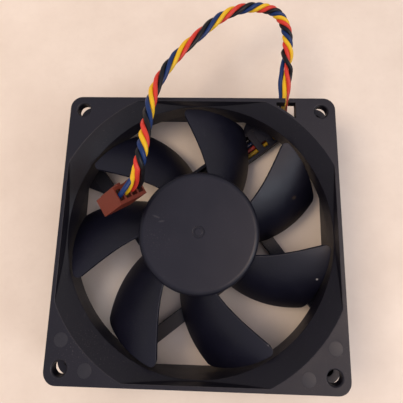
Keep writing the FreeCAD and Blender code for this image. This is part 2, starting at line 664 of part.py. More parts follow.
def blade_section(radius):
    """Heading and corner points of the blade in a plane square to a radius.

    Each point is a distance along the turning direction and a height.
    """
    hub, tip = value("hub_radius"), value(f"{THROAT_RADIUS} - tip_clearance")
    top, bottom = value(HUB_TOP), value(HUB_BOTTOM)
    half_chord = 0.0
    for _ in range(30):
        share = (math.hypot(radius, half_chord) - hub) / (tip - hub)
        lead = value("lead_angle") + value("lead_sweep") * share + value("lead_curl") * share ** 2
        trail = value("trail_angle") + value("trail_sweep") * share
        half_chord = radius * math.tan(math.radians(lead - trail) / 2)

    def blend(at_hub, at_tip):
        return value(at_hub) + (value(at_tip) - value(at_hub)) * share

    front = FreeCAD.Vector(half_chord, top - blend("lead_drop_hub", "lead_drop_tip"), 0)
    back = FreeCAD.Vector(-half_chord, bottom + blend("trail_rise_hub", "trail_rise_tip"), 0)
    chord = front - back
    across = FreeCAD.Vector(-chord.y, chord.x, 0).normalize()
    middle = (front + back) / 2 + across * blend("blade_camber_hub", "blade_camber_tip")
    edge, thickness = across * (value("blade_edge") / 2), across * (value("blade_thickness") / 2)
    upper = (front + edge, middle + thickness, back + edge)
    lower = (back - edge, middle - thickness, front - edge)
    return (lead + trail) / 2, upper, lower


def blade_sketch(body, name, radius):
    """Sketch of the blade's section in a plane square to a radius."""
    heading, upper, lower = blade_section(radius)
    turn = math.radians(heading)
    sketch = new_sketch(body, name, "YZ_Plane")
    sketch.setExpression("AttachmentOffset.Base.z", None)
    sketch.AttachmentOffset = FreeCAD.Placement(
        FreeCAD.Vector(radius * math.sin(turn), 0, radius * math.cos(turn)),
        FreeCAD.Rotation(FreeCAD.Vector(0, 1, 0), heading))
    sketch.addGeometry([
        Part.Arc(*upper), Part.LineSegment(upper[2], lower[0]),
        Part.Arc(*lower), Part.LineSegment(lower[2], upper[0])])
    return sketch


def make_impeller():
    """Hub with swept, twisted blades."""
    body = new_body("impeller_body")
    hub = new_sketch(body, "hub_outline", lift=HUB_BOTTOM)
    draw_circle(hub, "hub_radius")
    link(hub, {"AttachmentOffset.Rotation.Angle": "(lead_angle + trail_angle) / 2 + 180 / blade_count"})
    pad(body, hub, f"{HUB_TOP} - {HUB_BOTTOM}")
    doc.recompute()
    round_hub(body)
    root = value("hub_radius - hub_wall") - value("blade_thickness") * 2
    tip = value(THROAT_RADIUS)
    stations = 4
    sections = [blade_sketch(body, f"blade_section_{number}", root + (tip - root) * number / stations)
                for number in range(stations + 1)]
    doc.recompute()
    blade = body.newObject("PartDesign::AdditiveLoft", "blade")
    blade.Profile = sections[0]
    blade.Sections = sections[1:]
    polar_pattern(body, blade, "blade_count")
    doc.recompute()
    trim_blades(body)
    round_noses(body)
    cavity = new_sketch(body, "hub_cavity")
    draw_circle(cavity, "hub_radius - hub_wall")
    body.Tip = pocket(body, cavity, COVER_UNDER)
    groove = new_sketch(body, "gate_mark", lift=f"{HUB_TOP} - nub_depth")
    draw_circle(groove, "nub_radius")
    draw_circle(groove, "nub_radius + nub_groove")
    body.Tip = pocket(body, groove, "nub_depth")
    sub_part(body, "impeller")


def round_hub(body):
    """Soft edge round the hub cover."""
    base, top = body.Tip, value(HUB_TOP)
    rim = [f"Edge{number}" for number, edge in enumerate(base.Shape.Edges, start=1)
           if all(abs(vertex.Z - top) < 1e-4 for vertex in edge.Vertexes)]
    rounding = body.newObject("PartDesign::Fillet", "hub_rounding")
    rounding.Base = (base, rim)
    body.Tip = link(rounding, {"Radius": "hub_edge"})
    doc.recompute()


def trim_blades(body):
    """Groove that ends the blades at the tip, with a rounded corner at the trailing edge."""
    tip, far = f"({THROAT_RADIUS} - tip_clearance)", "frame_size"
    bottom = f"({HUB_BOTTOM} + trail_rise_tip - blade_edge)"
    inner, level = f"({tip} - blade_corner)", f"({bottom} + blade_corner)"
    corners = ((tip, "frame_depth"), (far, "frame_depth"), (far, "0"), (inner, "0"), (inner, bottom),
               (tip, level))
    rounded = 4
    points = [FreeCAD.Vector(value(x), value(y), 0) for x, y in corners]
    radius, upright = value("blade_corner"), FreeCAD.Vector(0, 0, 1)
    sketch = new_sketch(body, "blade_tips", "XZ_Plane")
    for number, point in enumerate(points):
        if number == rounded:
            circle = Part.Circle(FreeCAD.Vector(value(inner), value(level), 0), upright, radius)
            sketch.addGeometry(Part.ArcOfCircle(circle, -math.pi / 2, 0))
            edge = sketch.addConstraint(Sketcher.Constraint("Radius", number, radius))
            link(sketch, {f"Constraints[{edge}]": "blade_corner"})
        else:
            sketch.addGeometry(Part.LineSegment(point, points[(number + 1) % len(points)]))
    for number, (x, y) in enumerate(corners):
        sketch.addConstraint(Sketcher.Constraint("Coincident", number, 2, (number + 1) % len(corners), 1))
        place_point(sketch, number, 1, x, y)
    groove = body.newObject("PartDesign::Groove", "blade_trim")
    groove.Profile = sketch
    groove.ReferenceAxis = (sketch, ["V_Axis"])
    groove.Angle = 360
    body.Tip = groove
    doc.recompute()


def round_noses(body):
    """Upright cuts that round the tip of each blade at its leading edge."""
    tip, nose = value(f"{THROAT_RADIUS} - tip_clearance"), value("blade_nose")
    turn = math.radians(value("lead_angle + lead_sweep + lead_curl"))
    sweep = math.radians(value("lead_sweep + 2 * lead_curl")) / (tip - value("hub_radius"))
    lean = math.atan(tip * sweep)
    outward = FreeCAD.Vector(math.cos(turn), math.sin(turn), 0)
    onward = FreeCAD.Vector(-outward.y, outward.x, 0)
    forward = onward * math.cos(lean) - outward * math.sin(lean)
    corner = outward * tip
    centre = corner - outward * nose - onward * (nose * (1 + math.sin(lean)) / math.cos(lean))
    away = FreeCAD.Vector(centre).normalize()
    first, middle, last = (centre + direction * nose for direction in (
        forward, (forward + away).normalize(), away))
    beyond = corner + (forward + away) * nose
    sketch = new_sketch(body, "blade_noses")
    sketch.addGeometry([
        Part.Arc(first, middle, last), Part.LineSegment(last, last + away * nose),
        Part.LineSegment(last + away * nose, beyond), Part.LineSegment(beyond, first + forward * nose),
        Part.LineSegment(first + forward * nose, first)])
    polar_pattern(body, pocket(body, sketch, "frame_depth"), "blade_count")
    doc.recompute()


# Wires: four in the channel strut, a free lead outside, and a crimp plug.

def channel_point(along, off, height):
    """Point in the frame of the wire channel's strut."""
    turn = math.radians(value("strut_angle"))
    return FreeCAD.Vector(math.cos(turn) * along - math.sin(turn) * off,
                          math.sin(turn) * along + math.cos(turn) * off, height)


def rounded_path(points, radii):
    """Wire of straight runs joined by tangent arcs at the inner points."""
    edges = []
    start = points[0]
    for before, corner, after, radius in zip(points, points[1:], points[2:], radii):
        arrive, leave = (corner - before).normalize(), (after - corner).normalize()
        setback = radius * math.tan(arrive.getAngle(leave) / 2)
        first, last = corner - arrive * setback, corner + leave * setback
        inward = (leave - arrive).normalize()
        centre = corner + inward * math.hypot(radius, setback)
        edges.append(Part.LineSegment(start, first).toShape())
        edges.append(Part.Arc(first, centre - inward * radius, last).toShape())
        start = last
    edges.append(Part.LineSegment(start, points[-1]).toShape())
    return Part.Wire(edges)


def swept(name, path, diameter):
    """Round solid along a path."""
    first = path.Edges[0]
    circle = Part.Circle(first.Vertexes[0].Point, first.tangentAt(first.FirstParameter), diameter / 2)
    obj = doc.addObject("Part::Feature", name)
    obj.Shape = path.makePipeShell([Part.Wire([circle.toShape()])], True, False)
    return obj


def lead_route():
    """Points on the middle line of the free lead, from the frame to the plug."""
    exit_point = FreeCAD.Vector(*(value(formula) for formula in LEAD_EXIT))
    return [exit_point + FreeCAD.Vector(*step) for step in LEAD_STEPS]


def lead_frame():
    """Directions at the lead's exit: outwards, sideways and upwards."""
    outward = FreeCAD.Vector(*LEAD_STEPS[1]).normalize()
    sideways = outward.cross(FreeCAD.Vector(0, 0, 1)).normalize()
    return outward, sideways, sideways.cross(outward)


# Wires in the channel from its inner side outwards, and where each lies in the lead.
WIRES = (("yellow", 0, 1), ("red", 1, 0), ("blue", -1, 0), ("black", 0, -1))


def make_frame_wires():
    """Each wire from the board along the channel and up to the lead's exit."""
    outward, sideways, upwards = lead_frame()
    bend, pitch = value("wire_bend"), value("wire_pitch")
    spread, rise = value("exit_spread"), value("exit_rise")
    height = value("base_floor + wire_diameter / 2 + fit_clearance")
    riser = value(CHANNEL_REACH) - bend
    for number, (colour, right, up) in enumerate(WIRES):
        off = value(CHANNEL_MIDDLE) + (number - (len(WIRES) - 1) / 2) * pitch
        last = lead_route()[0] + sideways * (right * spread) + upwards * (up * rise)
        level = value("wire_level") + (len(WIRES) - 1 - number) * value("wire_step")
        points = [channel_point(value("wire_start"), off - value("wire_shift"), height),
                  channel_point(value("wire_straight"), off, height),
                  channel_point(riser, off, height), last - outward * level, last]
        sub_part(swept("wire_" + colour, rounded_path(points, [bend] * 3), value("wire_diameter")),
                 "wire_" + colour)


def make_lead():
    """Free lead as one round bundle, with arcs as large as its runs allow."""
    points = lead_route()
    radii = []
    for before, corner, after in zip(points, points[1:], points[2:]):
        arrive, leave = corner - before, after - corner
        shorter = min(arrive.Length, leave.Length)
        radii.append(0.45 * shorter / math.tan(arrive.getAngle(leave) / 2))
    diameter = value("2 * lead_lay + wire_diameter")
    path = rounded_path(points, radii)
    lead = sub_part(swept("lead", path, diameter), "fan_lead")
    section = math.pi * diameter ** 2 / 4
    print("lead radii", [round(radius, 1) for radius in radii])
    print("lead length", round(path.Length, 1), "diameter", round(diameter, 2),
          "volume ratio", round(lead.Shape.Volume / (section * path.Length), 4))


def plug_placement():
    """Where the plug lies: its wire side at the lead's end."""
    row, axis = FreeCAD.Vector(*PLUG_ROW), FreeCAD.Vector(*PLUG_AXIS)
    return FreeCAD.Placement(lead_route()[-1], FreeCAD.Rotation(row, axis.cross(row), axis, "ZXY"))


def make_plug():
    """Crimp housing with a row of cavities and polarising ribs, and its contacts."""
    body = new_body("plug_body")
    block = new_sketch(body, "plug_block")
    draw_rectangle(block, f"-{PLUG_HALF}", PLUG_HALF, "-plug_thickness / 2", "plug_thickness / 2")
    pad(body, block, "plug_length")
    doc.recompute()
    for name, width, depth, length in (
            ("cavity", "cavity_width", "cavity_depth", "plug_length - cavity_floor"),
            ("pin_way", "pin_hole", "pin_hole", "plug_length")):
        opening = new_sketch(body, name)
        draw_rectangle(opening, f"{FIRST_WAY} - {width} / 2", f"{FIRST_WAY} + {width} / 2",
                       f"-{depth} / 2", f"{depth} / 2")
        row_pattern(body, pocket(body, opening, length), ROW_LENGTH, "plug_ways")
        doc.recompute()
    rib = new_sketch(body, "plug_rib")
    draw_rectangle(rib, "-plug_pitch - rib_width / 2", "-plug_pitch + rib_width / 2",
                   "-plug_thickness / 2 - rib_height", "-plug_thickness / 2")
    row_pattern(body, pad(body, rib, "plug_length"), "2 * plug_pitch", "2")
    body.Placement = plug_placement()
    sub_part(body, "plug_housing")
    make_contacts()


def make_contacts():
    """Crimp contacts, one in each cavity."""
    body = new_body("contact_body")
    blank = new_sketch(body, "contact_blank", lift="plug_length - cavity_floor - contact_length")
    half_width = "(cavity_width / 2 - contact_clearance)"
    half_depth = "(cavity_depth / 2 - contact_clearance)"
    for number in range(int(value("plug_ways"))):
        middle = f"({FIRST_WAY} + {number} * plug_pitch)"
        draw_rectangle(blank, f"{middle} - {half_width}", f"{middle} + {half_width}",
                       f"-{half_depth}", half_depth)
    body.AllowCompound = True
    pad(body, blank, "contact_length")
    body.Placement = plug_placement()
    sub_part(body, "plug_contacts")


def check_and_write():
    """Stop on any failed object or bad shape, then write every piece."""
    doc.recompute()
    failed = [obj.Name for obj in doc.Objects if {"Invalid", "Error"} & set(obj.State)]
    bad = [obj.Label for obj in PARTS if obj.Shape.isNull() or not obj.Shape.isValid()]
    if failed or bad:
        raise RuntimeError(f"failed objects {failed}, bad shapes {bad}")
    os.makedirs("parts", exist_ok=True)
    for obj in PARTS:
        obj.Shape.exportStep(f"parts/{obj.Label}.step")
        print(obj.Label, "solids", len(obj.Shape.Solids), "volume", round(obj.Shape.Volume, 2))


make_frame()
make_bearing()
make_shaft()
make_core()
make_bobbin("bobbin_lower", "socket_height", f"{CORE_BOTTOM} - bobbin_thickness - bobbin_lip")
make_bobbin("bobbin_upper", CORE_TOP, f"{CORE_TOP} + bobbin_thickness")
make_coils()
make_board()
make_rotor_cup()
make_impeller()
make_frame_wires()
make_lead()
make_plug()
check_and_write()
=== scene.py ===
"""A computer case fan on a pale table.

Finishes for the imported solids, the twisted lead, the frame's webs, tabs and pin marks, and the studio.
"""

import logging
from dataclasses import dataclass, field
from enum import Enum

import bpy
import numpy as np
from mathutils import Matrix, Vector
from numpy.typing import NDArray


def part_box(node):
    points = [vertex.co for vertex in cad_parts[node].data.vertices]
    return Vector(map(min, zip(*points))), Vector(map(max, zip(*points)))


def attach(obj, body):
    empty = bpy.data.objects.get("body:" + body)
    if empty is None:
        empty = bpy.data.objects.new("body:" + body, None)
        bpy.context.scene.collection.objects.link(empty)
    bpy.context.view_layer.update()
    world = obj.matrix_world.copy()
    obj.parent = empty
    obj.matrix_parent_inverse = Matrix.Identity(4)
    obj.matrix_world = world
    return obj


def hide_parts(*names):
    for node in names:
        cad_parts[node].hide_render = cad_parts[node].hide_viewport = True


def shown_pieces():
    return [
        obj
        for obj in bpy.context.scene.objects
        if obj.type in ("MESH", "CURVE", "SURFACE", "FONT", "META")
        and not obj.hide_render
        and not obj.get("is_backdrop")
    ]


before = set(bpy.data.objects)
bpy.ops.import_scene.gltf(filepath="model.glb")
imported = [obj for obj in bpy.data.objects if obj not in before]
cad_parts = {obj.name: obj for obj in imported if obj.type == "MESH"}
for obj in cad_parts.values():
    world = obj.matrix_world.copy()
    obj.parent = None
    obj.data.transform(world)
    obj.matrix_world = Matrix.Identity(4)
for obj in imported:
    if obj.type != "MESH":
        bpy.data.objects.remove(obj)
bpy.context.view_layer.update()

Colour = tuple[float, float, float]
Point = tuple[float, float, float]
Socket = bpy.types.NodeSocket
Array = NDArray[np.float64]

LOG = logging.getLogger("case_fan")
MM = 0.001
PATCH_GROWTH = 40.0
EDGE_SAMPLES = 6
EDGE_BREAKS = 900.0
SPECK_SCALE = 2600.0
DRIFT_SCALE = 60.0
RUB_STRETCH = (1800.0, 90.0, 400.0)
RUB_PATCHES = 45.0
SLEEVE_MAP_WIDTH = 5.0 * MM


# Node trees


class Graph:
    """A node tree that is filled one node at a time."""

    def __init__(self, tree: bpy.types.NodeTree) -> None:
        """Takes the tree to fill."""
        self.tree = tree

    def add(self, kind: str, inputs: dict[str | int, object] | None = None,
            **settings: object) -> bpy.types.Node:
        """Adds a node.

        Args:
            kind: Blender's name of the node type.
            inputs: a value or an output socket for each input, by name or number.
            settings: properties of the node itself.

        Returns:
            The new node.
        """
        node = self.tree.nodes.new(kind)
        for name, setting in settings.items():
            setattr(node, name, setting)
        for name, value in (inputs or {}).items():
            if isinstance(value, bpy.types.NodeSocket):
                self.tree.links.new(value, node.inputs[name])
            else:
                node.inputs[name].default_value = value
        return node

    def math(self, operation: str, first: object, second: object = 0.0, clamp: bool = False) -> Socket:
        """Adds a Math node and returns its output."""
        node = self.add("ShaderNodeMath", {0: first, 1: second}, operation=operation, use_clamp=clamp)
        return node.outputs[0]

    def span(self, value: object, low: float, high: float, start: float = 0.0, end: float = 1.0) -> Socket:
        """Maps low to start and high to end, held at both, and returns the output."""
        return self.add("ShaderNodeMapRange", {0: value, 1: low, 2: high, 3: start, 4: end}).outputs[0]

    def mix(self, share: object, first: object, second: object) -> Socket:
        """Mixes two colours by a share from 0 to 1 and returns the output."""
        node = self.add("ShaderNodeMix", data_type="RGBA", clamp_factor=True)
        for number, value in ((0, share), (6, first), (7, second)):
            if isinstance(value, bpy.types.NodeSocket):
                self.tree.links.new(value, node.inputs[number])
            elif number == 0:
                node.inputs[number].default_value = value
            else:
                node.inputs[number].default_value = (*value, 1.0)
        return node.outputs[2]

    def noise(self, vector: Socket, scale: object, detail: float = 2.0, roughness: float = 0.5) -> Socket:
        """Adds a Noise Texture and returns its factor."""
        inputs = {"Vector": vector, "Scale": scale, "Detail": detail, "Roughness": roughness}
        return self.add("ShaderNodeTexNoise", inputs).outputs[0]


class Effect(Enum):
    """Surface effects that several finishes share, each one a node group."""

    GRAIN = "mould_grain"
    EDGES = "worn_edges"
    DUST = "settled_dust"
    RUBS = "fine_rubs"

    def group(self) -> bpy.types.NodeTree:
        """Returns the effect's node group, made when it is first asked for."""
        found = bpy.data.node_groups.get(self.value)
        return found or EFFECT_MAKERS[self](self.value)


def new_group(name: str, inputs: dict[str, float],
              outputs: dict[str, str]) -> tuple[Graph, bpy.types.Node, bpy.types.Node]:
    """Starts a node group that takes a place on the surface.

    Args:
        name: the group's name.
        inputs: the number inputs with their defaults.
        outputs: each output's name and socket type.

    Returns:
        The graph, the node of the inputs and the node of the outputs.
    """
    tree = bpy.data.node_groups.new(name, "ShaderNodeTree")
    tree.interface.new_socket("Place", in_out="INPUT", socket_type="NodeSocketVector")
    for label, default in inputs.items():
        given = tree.interface.new_socket(label, in_out="INPUT", socket_type="NodeSocketFloat")
        given.default_value = default
    for label, kind in outputs.items():
        tree.interface.new_socket(label, in_out="OUTPUT", socket_type=kind)
    graph = Graph(tree)
    return graph, graph.add("NodeGroupInput"), graph.add("NodeGroupOutput")


def make_grain(name: str) -> bpy.types.NodeTree:
    """Texture of a spark-eroded mould: fine noise for the relief, and far coarser noise for patches."""
    graph, given, result = new_group(
        name, {"Size": 0.0003}, {"Height": "NodeSocketFloat", "Patches": "NodeSocketFloat"})
    scale = graph.math("DIVIDE", 1.0, given.outputs["Size"])
    fine = graph.noise(given.outputs["Place"], scale, 3.0, 0.6)
    coarse = graph.noise(given.outputs["Place"], graph.math("DIVIDE", scale, PATCH_GROWTH), 4.0, 0.6)
    graph.tree.links.new(fine, result.inputs["Height"])
    graph.tree.links.new(graph.span(coarse, 0.3, 0.7), result.inputs["Patches"])
    return graph.tree


def make_edges(name: str) -> bpy.types.NodeTree:
    """Worn edges: where a normal rounded over Radius leaves the surface's own one, broken up by noise."""
    graph, given, result = new_group(
        name, {"Radius": 0.0003}, {"Normal": "NodeSocketVector", "Mask": "NodeSocketFloat"})
    bevel = graph.add("ShaderNodeBevel", {"Radius": given.outputs["Radius"]}, samples=EDGE_SAMPLES)
    rounded, own = bevel.outputs[0], graph.add("ShaderNodeNewGeometry").outputs["Normal"]
    alike = graph.add("ShaderNodeVectorMath", {0: rounded, 1: own}, operation="DOT_PRODUCT")
    turned = graph.span(alike.outputs["Value"], 0.99, 0.8)
    broken = graph.span(graph.noise(given.outputs["Place"], EDGE_BREAKS, 3.0, 0.7), 0.35, 0.65, 0.25, 1.0)
    graph.tree.links.new(rounded, result.inputs["Normal"])
    graph.tree.links.new(graph.math("MULTIPLY", turned, broken), result.inputs["Mask"])
    return graph.tree


def make_dust(name: str) -> bpy.types.NodeTree:
    """Dust on faces that look up: specks where a fast noise is highest, more where a slow one is high."""
    graph, given, result = new_group(name, {"Amount": 0.5}, {"Mask": "NodeSocketFloat"})
    place = given.outputs["Place"]
    normal = graph.add("ShaderNodeNewGeometry").outputs["Normal"]
    upward = graph.span(graph.add("ShaderNodeSeparateXYZ", {0: normal}).outputs["Z"], 0.2, 0.9)
    specks = graph.span(graph.noise(place, SPECK_SCALE, 2.0, 0.6), 0.62, 0.72)
    drifts = graph.span(graph.noise(place, DRIFT_SCALE, 3.0, 0.6), 0.4, 0.75)
    settled = graph.math("MULTIPLY", graph.math("MULTIPLY", specks, drifts), upward)
    graph.tree.links.new(graph.math("MULTIPLY", settled, given.outputs["Amount"]), result.inputs["Mask"])
    return graph.tree


def make_rubs(name: str) -> bpy.types.NodeTree:
    """Fine rubs: noise drawn out long in one direction, of which only the highest threads are kept."""
    graph, given, result = new_group(name, {"Turn": 0.6}, {"Mask": "NodeSocketFloat"})
    turn = graph.add("ShaderNodeCombineXYZ", {2: given.outputs["Turn"]}).outputs[0]
    drawn = graph.add("ShaderNodeMapping", {
        "Vector": given.outputs["Place"], "Rotation": turn, "Scale": RUB_STRETCH}).outputs[0]
    threads = graph.span(graph.noise(drawn, 1.0, 2.0, 0.5), 0.66, 0.78)
    patches = graph.span(graph.noise(given.outputs["Place"], RUB_PATCHES, 2.0, 0.5), 0.5, 0.7)
    graph.tree.links.new(graph.math("MULTIPLY", threads, patches), result.inputs["Mask"])
    return graph.tree


EFFECT_MAKERS = {
    Effect.GRAIN: make_grain,
    Effect.EDGES: make_edges,
    Effect.DUST: make_dust,
    Effect.RUBS: make_rubs,
}


@dataclass(frozen=True)
class Mark:
    """A scuff or a speck at one place on a piece.

    Attributes:
        place: its middle, in metres.
        size: its reach along, across and through the surface, in metres.
        turn: its heading about the fan's axis, in degrees.
        colour: what it shows.
        strength: how far it covers the surface.
    """

    place: Point
    size: Point
    turn: float
    colour: Colour
    strength: float


class Dressing(Graph):
    """A new material's nodes round one Principled shader."""

    def __init__(self, name: str, coordinates: str = "Object") -> None:
        """Starts the material.

        Args:
            name: the material's name.
            coordinates: the output of Texture Coordinate that its patterns follow.
        """
        self.material = bpy.data.materials.new(name)
        self.material.use_nodes = True
        super().__init__(self.material.node_tree)
        self.shader = self.tree.nodes["Principled BSDF"]
        self.place = self.add("ShaderNodeTexCoord").outputs[coordinates]

    def effect(self, effect: Effect, **inputs: float) -> bpy.types.Node:
        """Places one of the shared effects, with its own values, and returns its node."""
        node = self.add("ShaderNodeGroup", node_tree=effect.group())
        self.tree.links.new(self.place, node.inputs["Place"])
        for name, value in inputs.items():
            node.inputs[name].default_value = value
        return node

    def feed(self, **sockets: Socket) -> None:
        """Links outputs to the shader's inputs, an underscore in a name standing for a space."""
        for name, socket in sockets.items():
            self.tree.links.new(socket, self.shader.inputs[name.replace("_", " ")])

    def fix(self, **values: object) -> None:
        """Sets plain values on the shader's inputs, an underscore in a name standing for a space."""
        for name, value in values.items():
            self.shader.inputs[name.replace("_", " ")].default_value = value

    def blot(self, mark: Mark) -> Socket:
        """Adds an oval blot, full in its middle, gone at its reach and frayed by noise; returns its mask."""
        own = self.add("ShaderNodeMapping", {
            "Vector": self.place, "Location": mark.place, "Rotation": (0.0, 0.0, np.radians(mark.turn)),
            "Scale": mark.size}, vector_type="TEXTURE").outputs[0]
        reach = self.add("ShaderNodeVectorMath", {0: own}, operation="LENGTH").outputs["Value"]
        frayed = self.span(self.noise(own, 2.5, 3.0, 0.6), 0.3, 0.55)
        return self.math("MULTIPLY", self.span(reach, 1.0, 0.35), frayed)

    def bump(self, height: Socket, depth: float, normal: Socket | None = None) -> Socket:
        """Adds a Bump node of that depth in metres and returns its normal."""
        inputs = {"Height": height, "Distance": depth, "Strength": 1.0}
        if normal is not None:
            inputs["Normal"] = normal
        return self.add("ShaderNodeBump", inputs).outputs[0]


# Finishes


def scaled(colour: Colour, times: float) -> Colour:
    """Returns the colour that many times as bright."""
    return tuple(min(1.0, part * times) for part in colour)


def wave_scale(period: float) -> float:
    """Returns the scale of a Wave Texture, whose period is 2 pi over 20 times its scale."""
    return 2.0 * np.pi / (20.0 * period)


@dataclass(frozen=True)
class MouldedPlastic:
    """Moulded plastic with mould grain, paler worn edges, settled dust, fine rubs and single marks.

    Lengths are in metres. A shade is a brightness against the colour, and a share is how far it covers.
    """

    name: str
    colour: Colour
    worn: Colour
    roughness: float
    grain: float = 0.0003
    relief: float = 0.00002
    edge_radius: float = 0.0003
    edge_wear: float = 0.5
    dust: float = 0.3
    rubs: float = 0.2
    sheen: float = 0.4
    marks: tuple[Mark, ...] = ()
    dust_colour: Colour = (0.42, 0.38, 0.33)
    shades: tuple[float, float] = (0.85, 1.18)
    pit_shade: float = 1.6
    pit_share: float = 0.35
    gloss_spread: float = 0.06
    dust_dulling: float = 0.3

    def material(self) -> bpy.types.Material:
        """Returns the finish as a material."""
        dress = Dressing(self.name)
        grain = dress.effect(Effect.GRAIN, Size=self.grain)
        edges = dress.effect(Effect.EDGES, Radius=self.edge_radius)
        dust = dress.effect(Effect.DUST, Amount=self.dust).outputs["Mask"]
        rubs = dress.effect(Effect.RUBS).outputs["Mask"]
        patches, height = grain.outputs["Patches"], grain.outputs["Height"]
        pits = dress.math("MULTIPLY", dress.span(height, 0.3, 0.7), self.pit_share)
        body = dress.mix(patches, *(scaled(self.colour, shade) for shade in self.shades))
        body = dress.mix(pits, body, scaled(self.colour, self.pit_shade))
        body = dress.mix(dress.math("MULTIPLY", rubs, self.rubs), body, self.worn)
        body = dress.mix(dress.math("MULTIPLY", edges.outputs["Mask"], self.edge_wear), body, self.worn)
        body = dress.mix(dust, body, self.dust_colour)
        for mark in self.marks:
            body = dress.mix(dress.math("MULTIPLY", dress.blot(mark), mark.strength), body, mark.colour)
        gloss = dress.span(
            patches, 0.0, 1.0, self.roughness - self.gloss_spread, self.roughness + self.gloss_spread)
        gloss = dress.math("ADD", gloss, dress.math("MULTIPLY", dust, self.dust_dulling), clamp=True)
        normal = dress.bump(height, self.relief, edges.outputs["Normal"])
        dress.fix(Specular_IOR_Level=self.sheen)
        dress.feed(Base_Color=body, Roughness=gloss, Normal=normal)
        return dress.material


class ToolMarks(Enum):
    """How the surface of a metal part was worked."""

    TURNED = "RINGS"
    STACKED = "BANDS"
    GROUND = "NONE"


@dataclass(frozen=True)
class WorkedMetal:
    """Bare metal with the marks of its working, dull patches and brighter edges."""

    name: str
    colour: Colour
    roughness: float
    marks: ToolMarks = ToolMarks.GROUND
    spacing: float = 0.0004
    relief: float = 0.00002
    grain: float = 0.0002
    edge_radius: float = 0.00015
    dull_shade: float = 0.8
    edge_shade: float = 1.3
    edge_share: float = 0.5
    mark_shade: float = 0.6
    mark_share: float = 0.2
    gloss_spread: float = 0.1

    def material(self) -> bpy.types.Material:
        """Returns the finish as a material."""
        dress = Dressing(self.name)
        grain = dress.effect(Effect.GRAIN, Size=self.grain)
        edges = dress.effect(Effect.EDGES, Radius=self.edge_radius)
        patches, height = grain.outputs["Patches"], grain.outputs["Height"]
        if self.marks is not ToolMarks.GROUND:
            height = dress.add("ShaderNodeTexWave", {
                "Vector": dress.place, "Scale": wave_scale(self.spacing), "Distortion": 0.4},
                wave_type=self.marks.value, bands_direction="Z", rings_direction="Z").outputs["Fac"]
        worn = dress.math("MULTIPLY", edges.outputs["Mask"], self.edge_share)
        cut = dress.math("MULTIPLY", height, self.mark_share)
        body = dress.mix(patches, scaled(self.colour, self.dull_shade), self.colour)
        body = dress.mix(worn, body, scaled(self.colour, self.edge_shade))
        body = dress.mix(cut, body, scaled(self.colour, self.mark_shade))
        gloss = dress.span(patches, 0.0, 1.0, self.roughness + self.gloss_spread, self.roughness)
        dress.fix(Metallic=1.0)
        dress.feed(Base_Color=body, Roughness=gloss,
                   Normal=dress.bump(height, self.relief, edges.outputs["Normal"]))
        return dress.material


class Wrap(Enum):
    """What the pattern of an insulation follows."""

    SOLID = "Object"
    SLEEVE = "UV"


@dataclass(frozen=True)
class Insulation:
    """Extruded wire insulation: draw lines along the wire, handling marks, a soft gloss and a darkening along
    the lines.

    On the free lead the lines follow the wire and the darkening is a little grime. The wires in the channel
    are solids, and their far stronger darkening is painted shade.
    """

    name: str
    colour: Colour
    roughness: float = 0.42
    sheen: float = 0.25
    # grime on the free lead; painted shade on the wires in the channel
    grime_and_painted_shade: Colour = (0.012, 0.010, 0.009)
    sleeve_stretch: Point = (900.0, 40.0, 900.0)
    solid_stretch: Point = (700.0, 700.0, 700.0)
    sleeve_grime: tuple[float, float] = (0.0, 0.1)
    # painted shade: how far the wires in the channel are darkened, as if in shadow
    solid_painted_shade: tuple[float, float] = (0.45, 0.75)
    shades: tuple[float, float] = (0.86, 1.12)
    mark_scale: float = 260.0
    mark_shade: float = 0.6
    mark_share: float = 0.35
    mark_dulling: float = 0.18
    relief: float = 0.00002

    def material(self, wrap: Wrap) -> bpy.types.Material:
        """Returns the finish as a material.

        Args:
            wrap: whether its lines follow the wire's own map or the solid.

        Returns:
            The new material.
        """
        dress = Dressing(f"{self.name}_{wrap.name.lower()}", wrap.value)
        free = wrap is Wrap.SLEEVE
        stretch = self.sleeve_stretch if free else self.solid_stretch
        # a little grime on the free lead, painted shade on the solids in the channel
        settled = self.sleeve_grime if free else self.solid_painted_shade
        drawn = dress.add("ShaderNodeMapping", {"Vector": dress.place, "Scale": stretch}).outputs[0]
        lines = dress.noise(drawn, 1.0, 2.0, 0.5)
        marks = dress.span(dress.noise(dress.place, self.mark_scale, 3.0, 0.6), 0.52, 0.75)
        handled = dress.math("MULTIPLY", marks, self.mark_share)
        body = dress.mix(lines, *(scaled(self.colour, shade) for shade in self.shades))
        body = dress.mix(handled, body, scaled(self.colour, self.mark_shade))
        # darkens along the lines: grime on the free lead, painted shade on the wires in the channel
        body = dress.mix(dress.span(lines, 0.2, 0.8, *settled), body, self.grime_and_painted_shade)
        gloss = dress.span(marks, 0.0, 1.0, self.roughness, self.roughness + self.mark_dulling)
        dress.fix(Specular_IOR_Level=self.sheen)
        dress.feed(Base_Color=body, Roughness=gloss, Normal=dress.bump(lines, self.relief))
        return dress.material


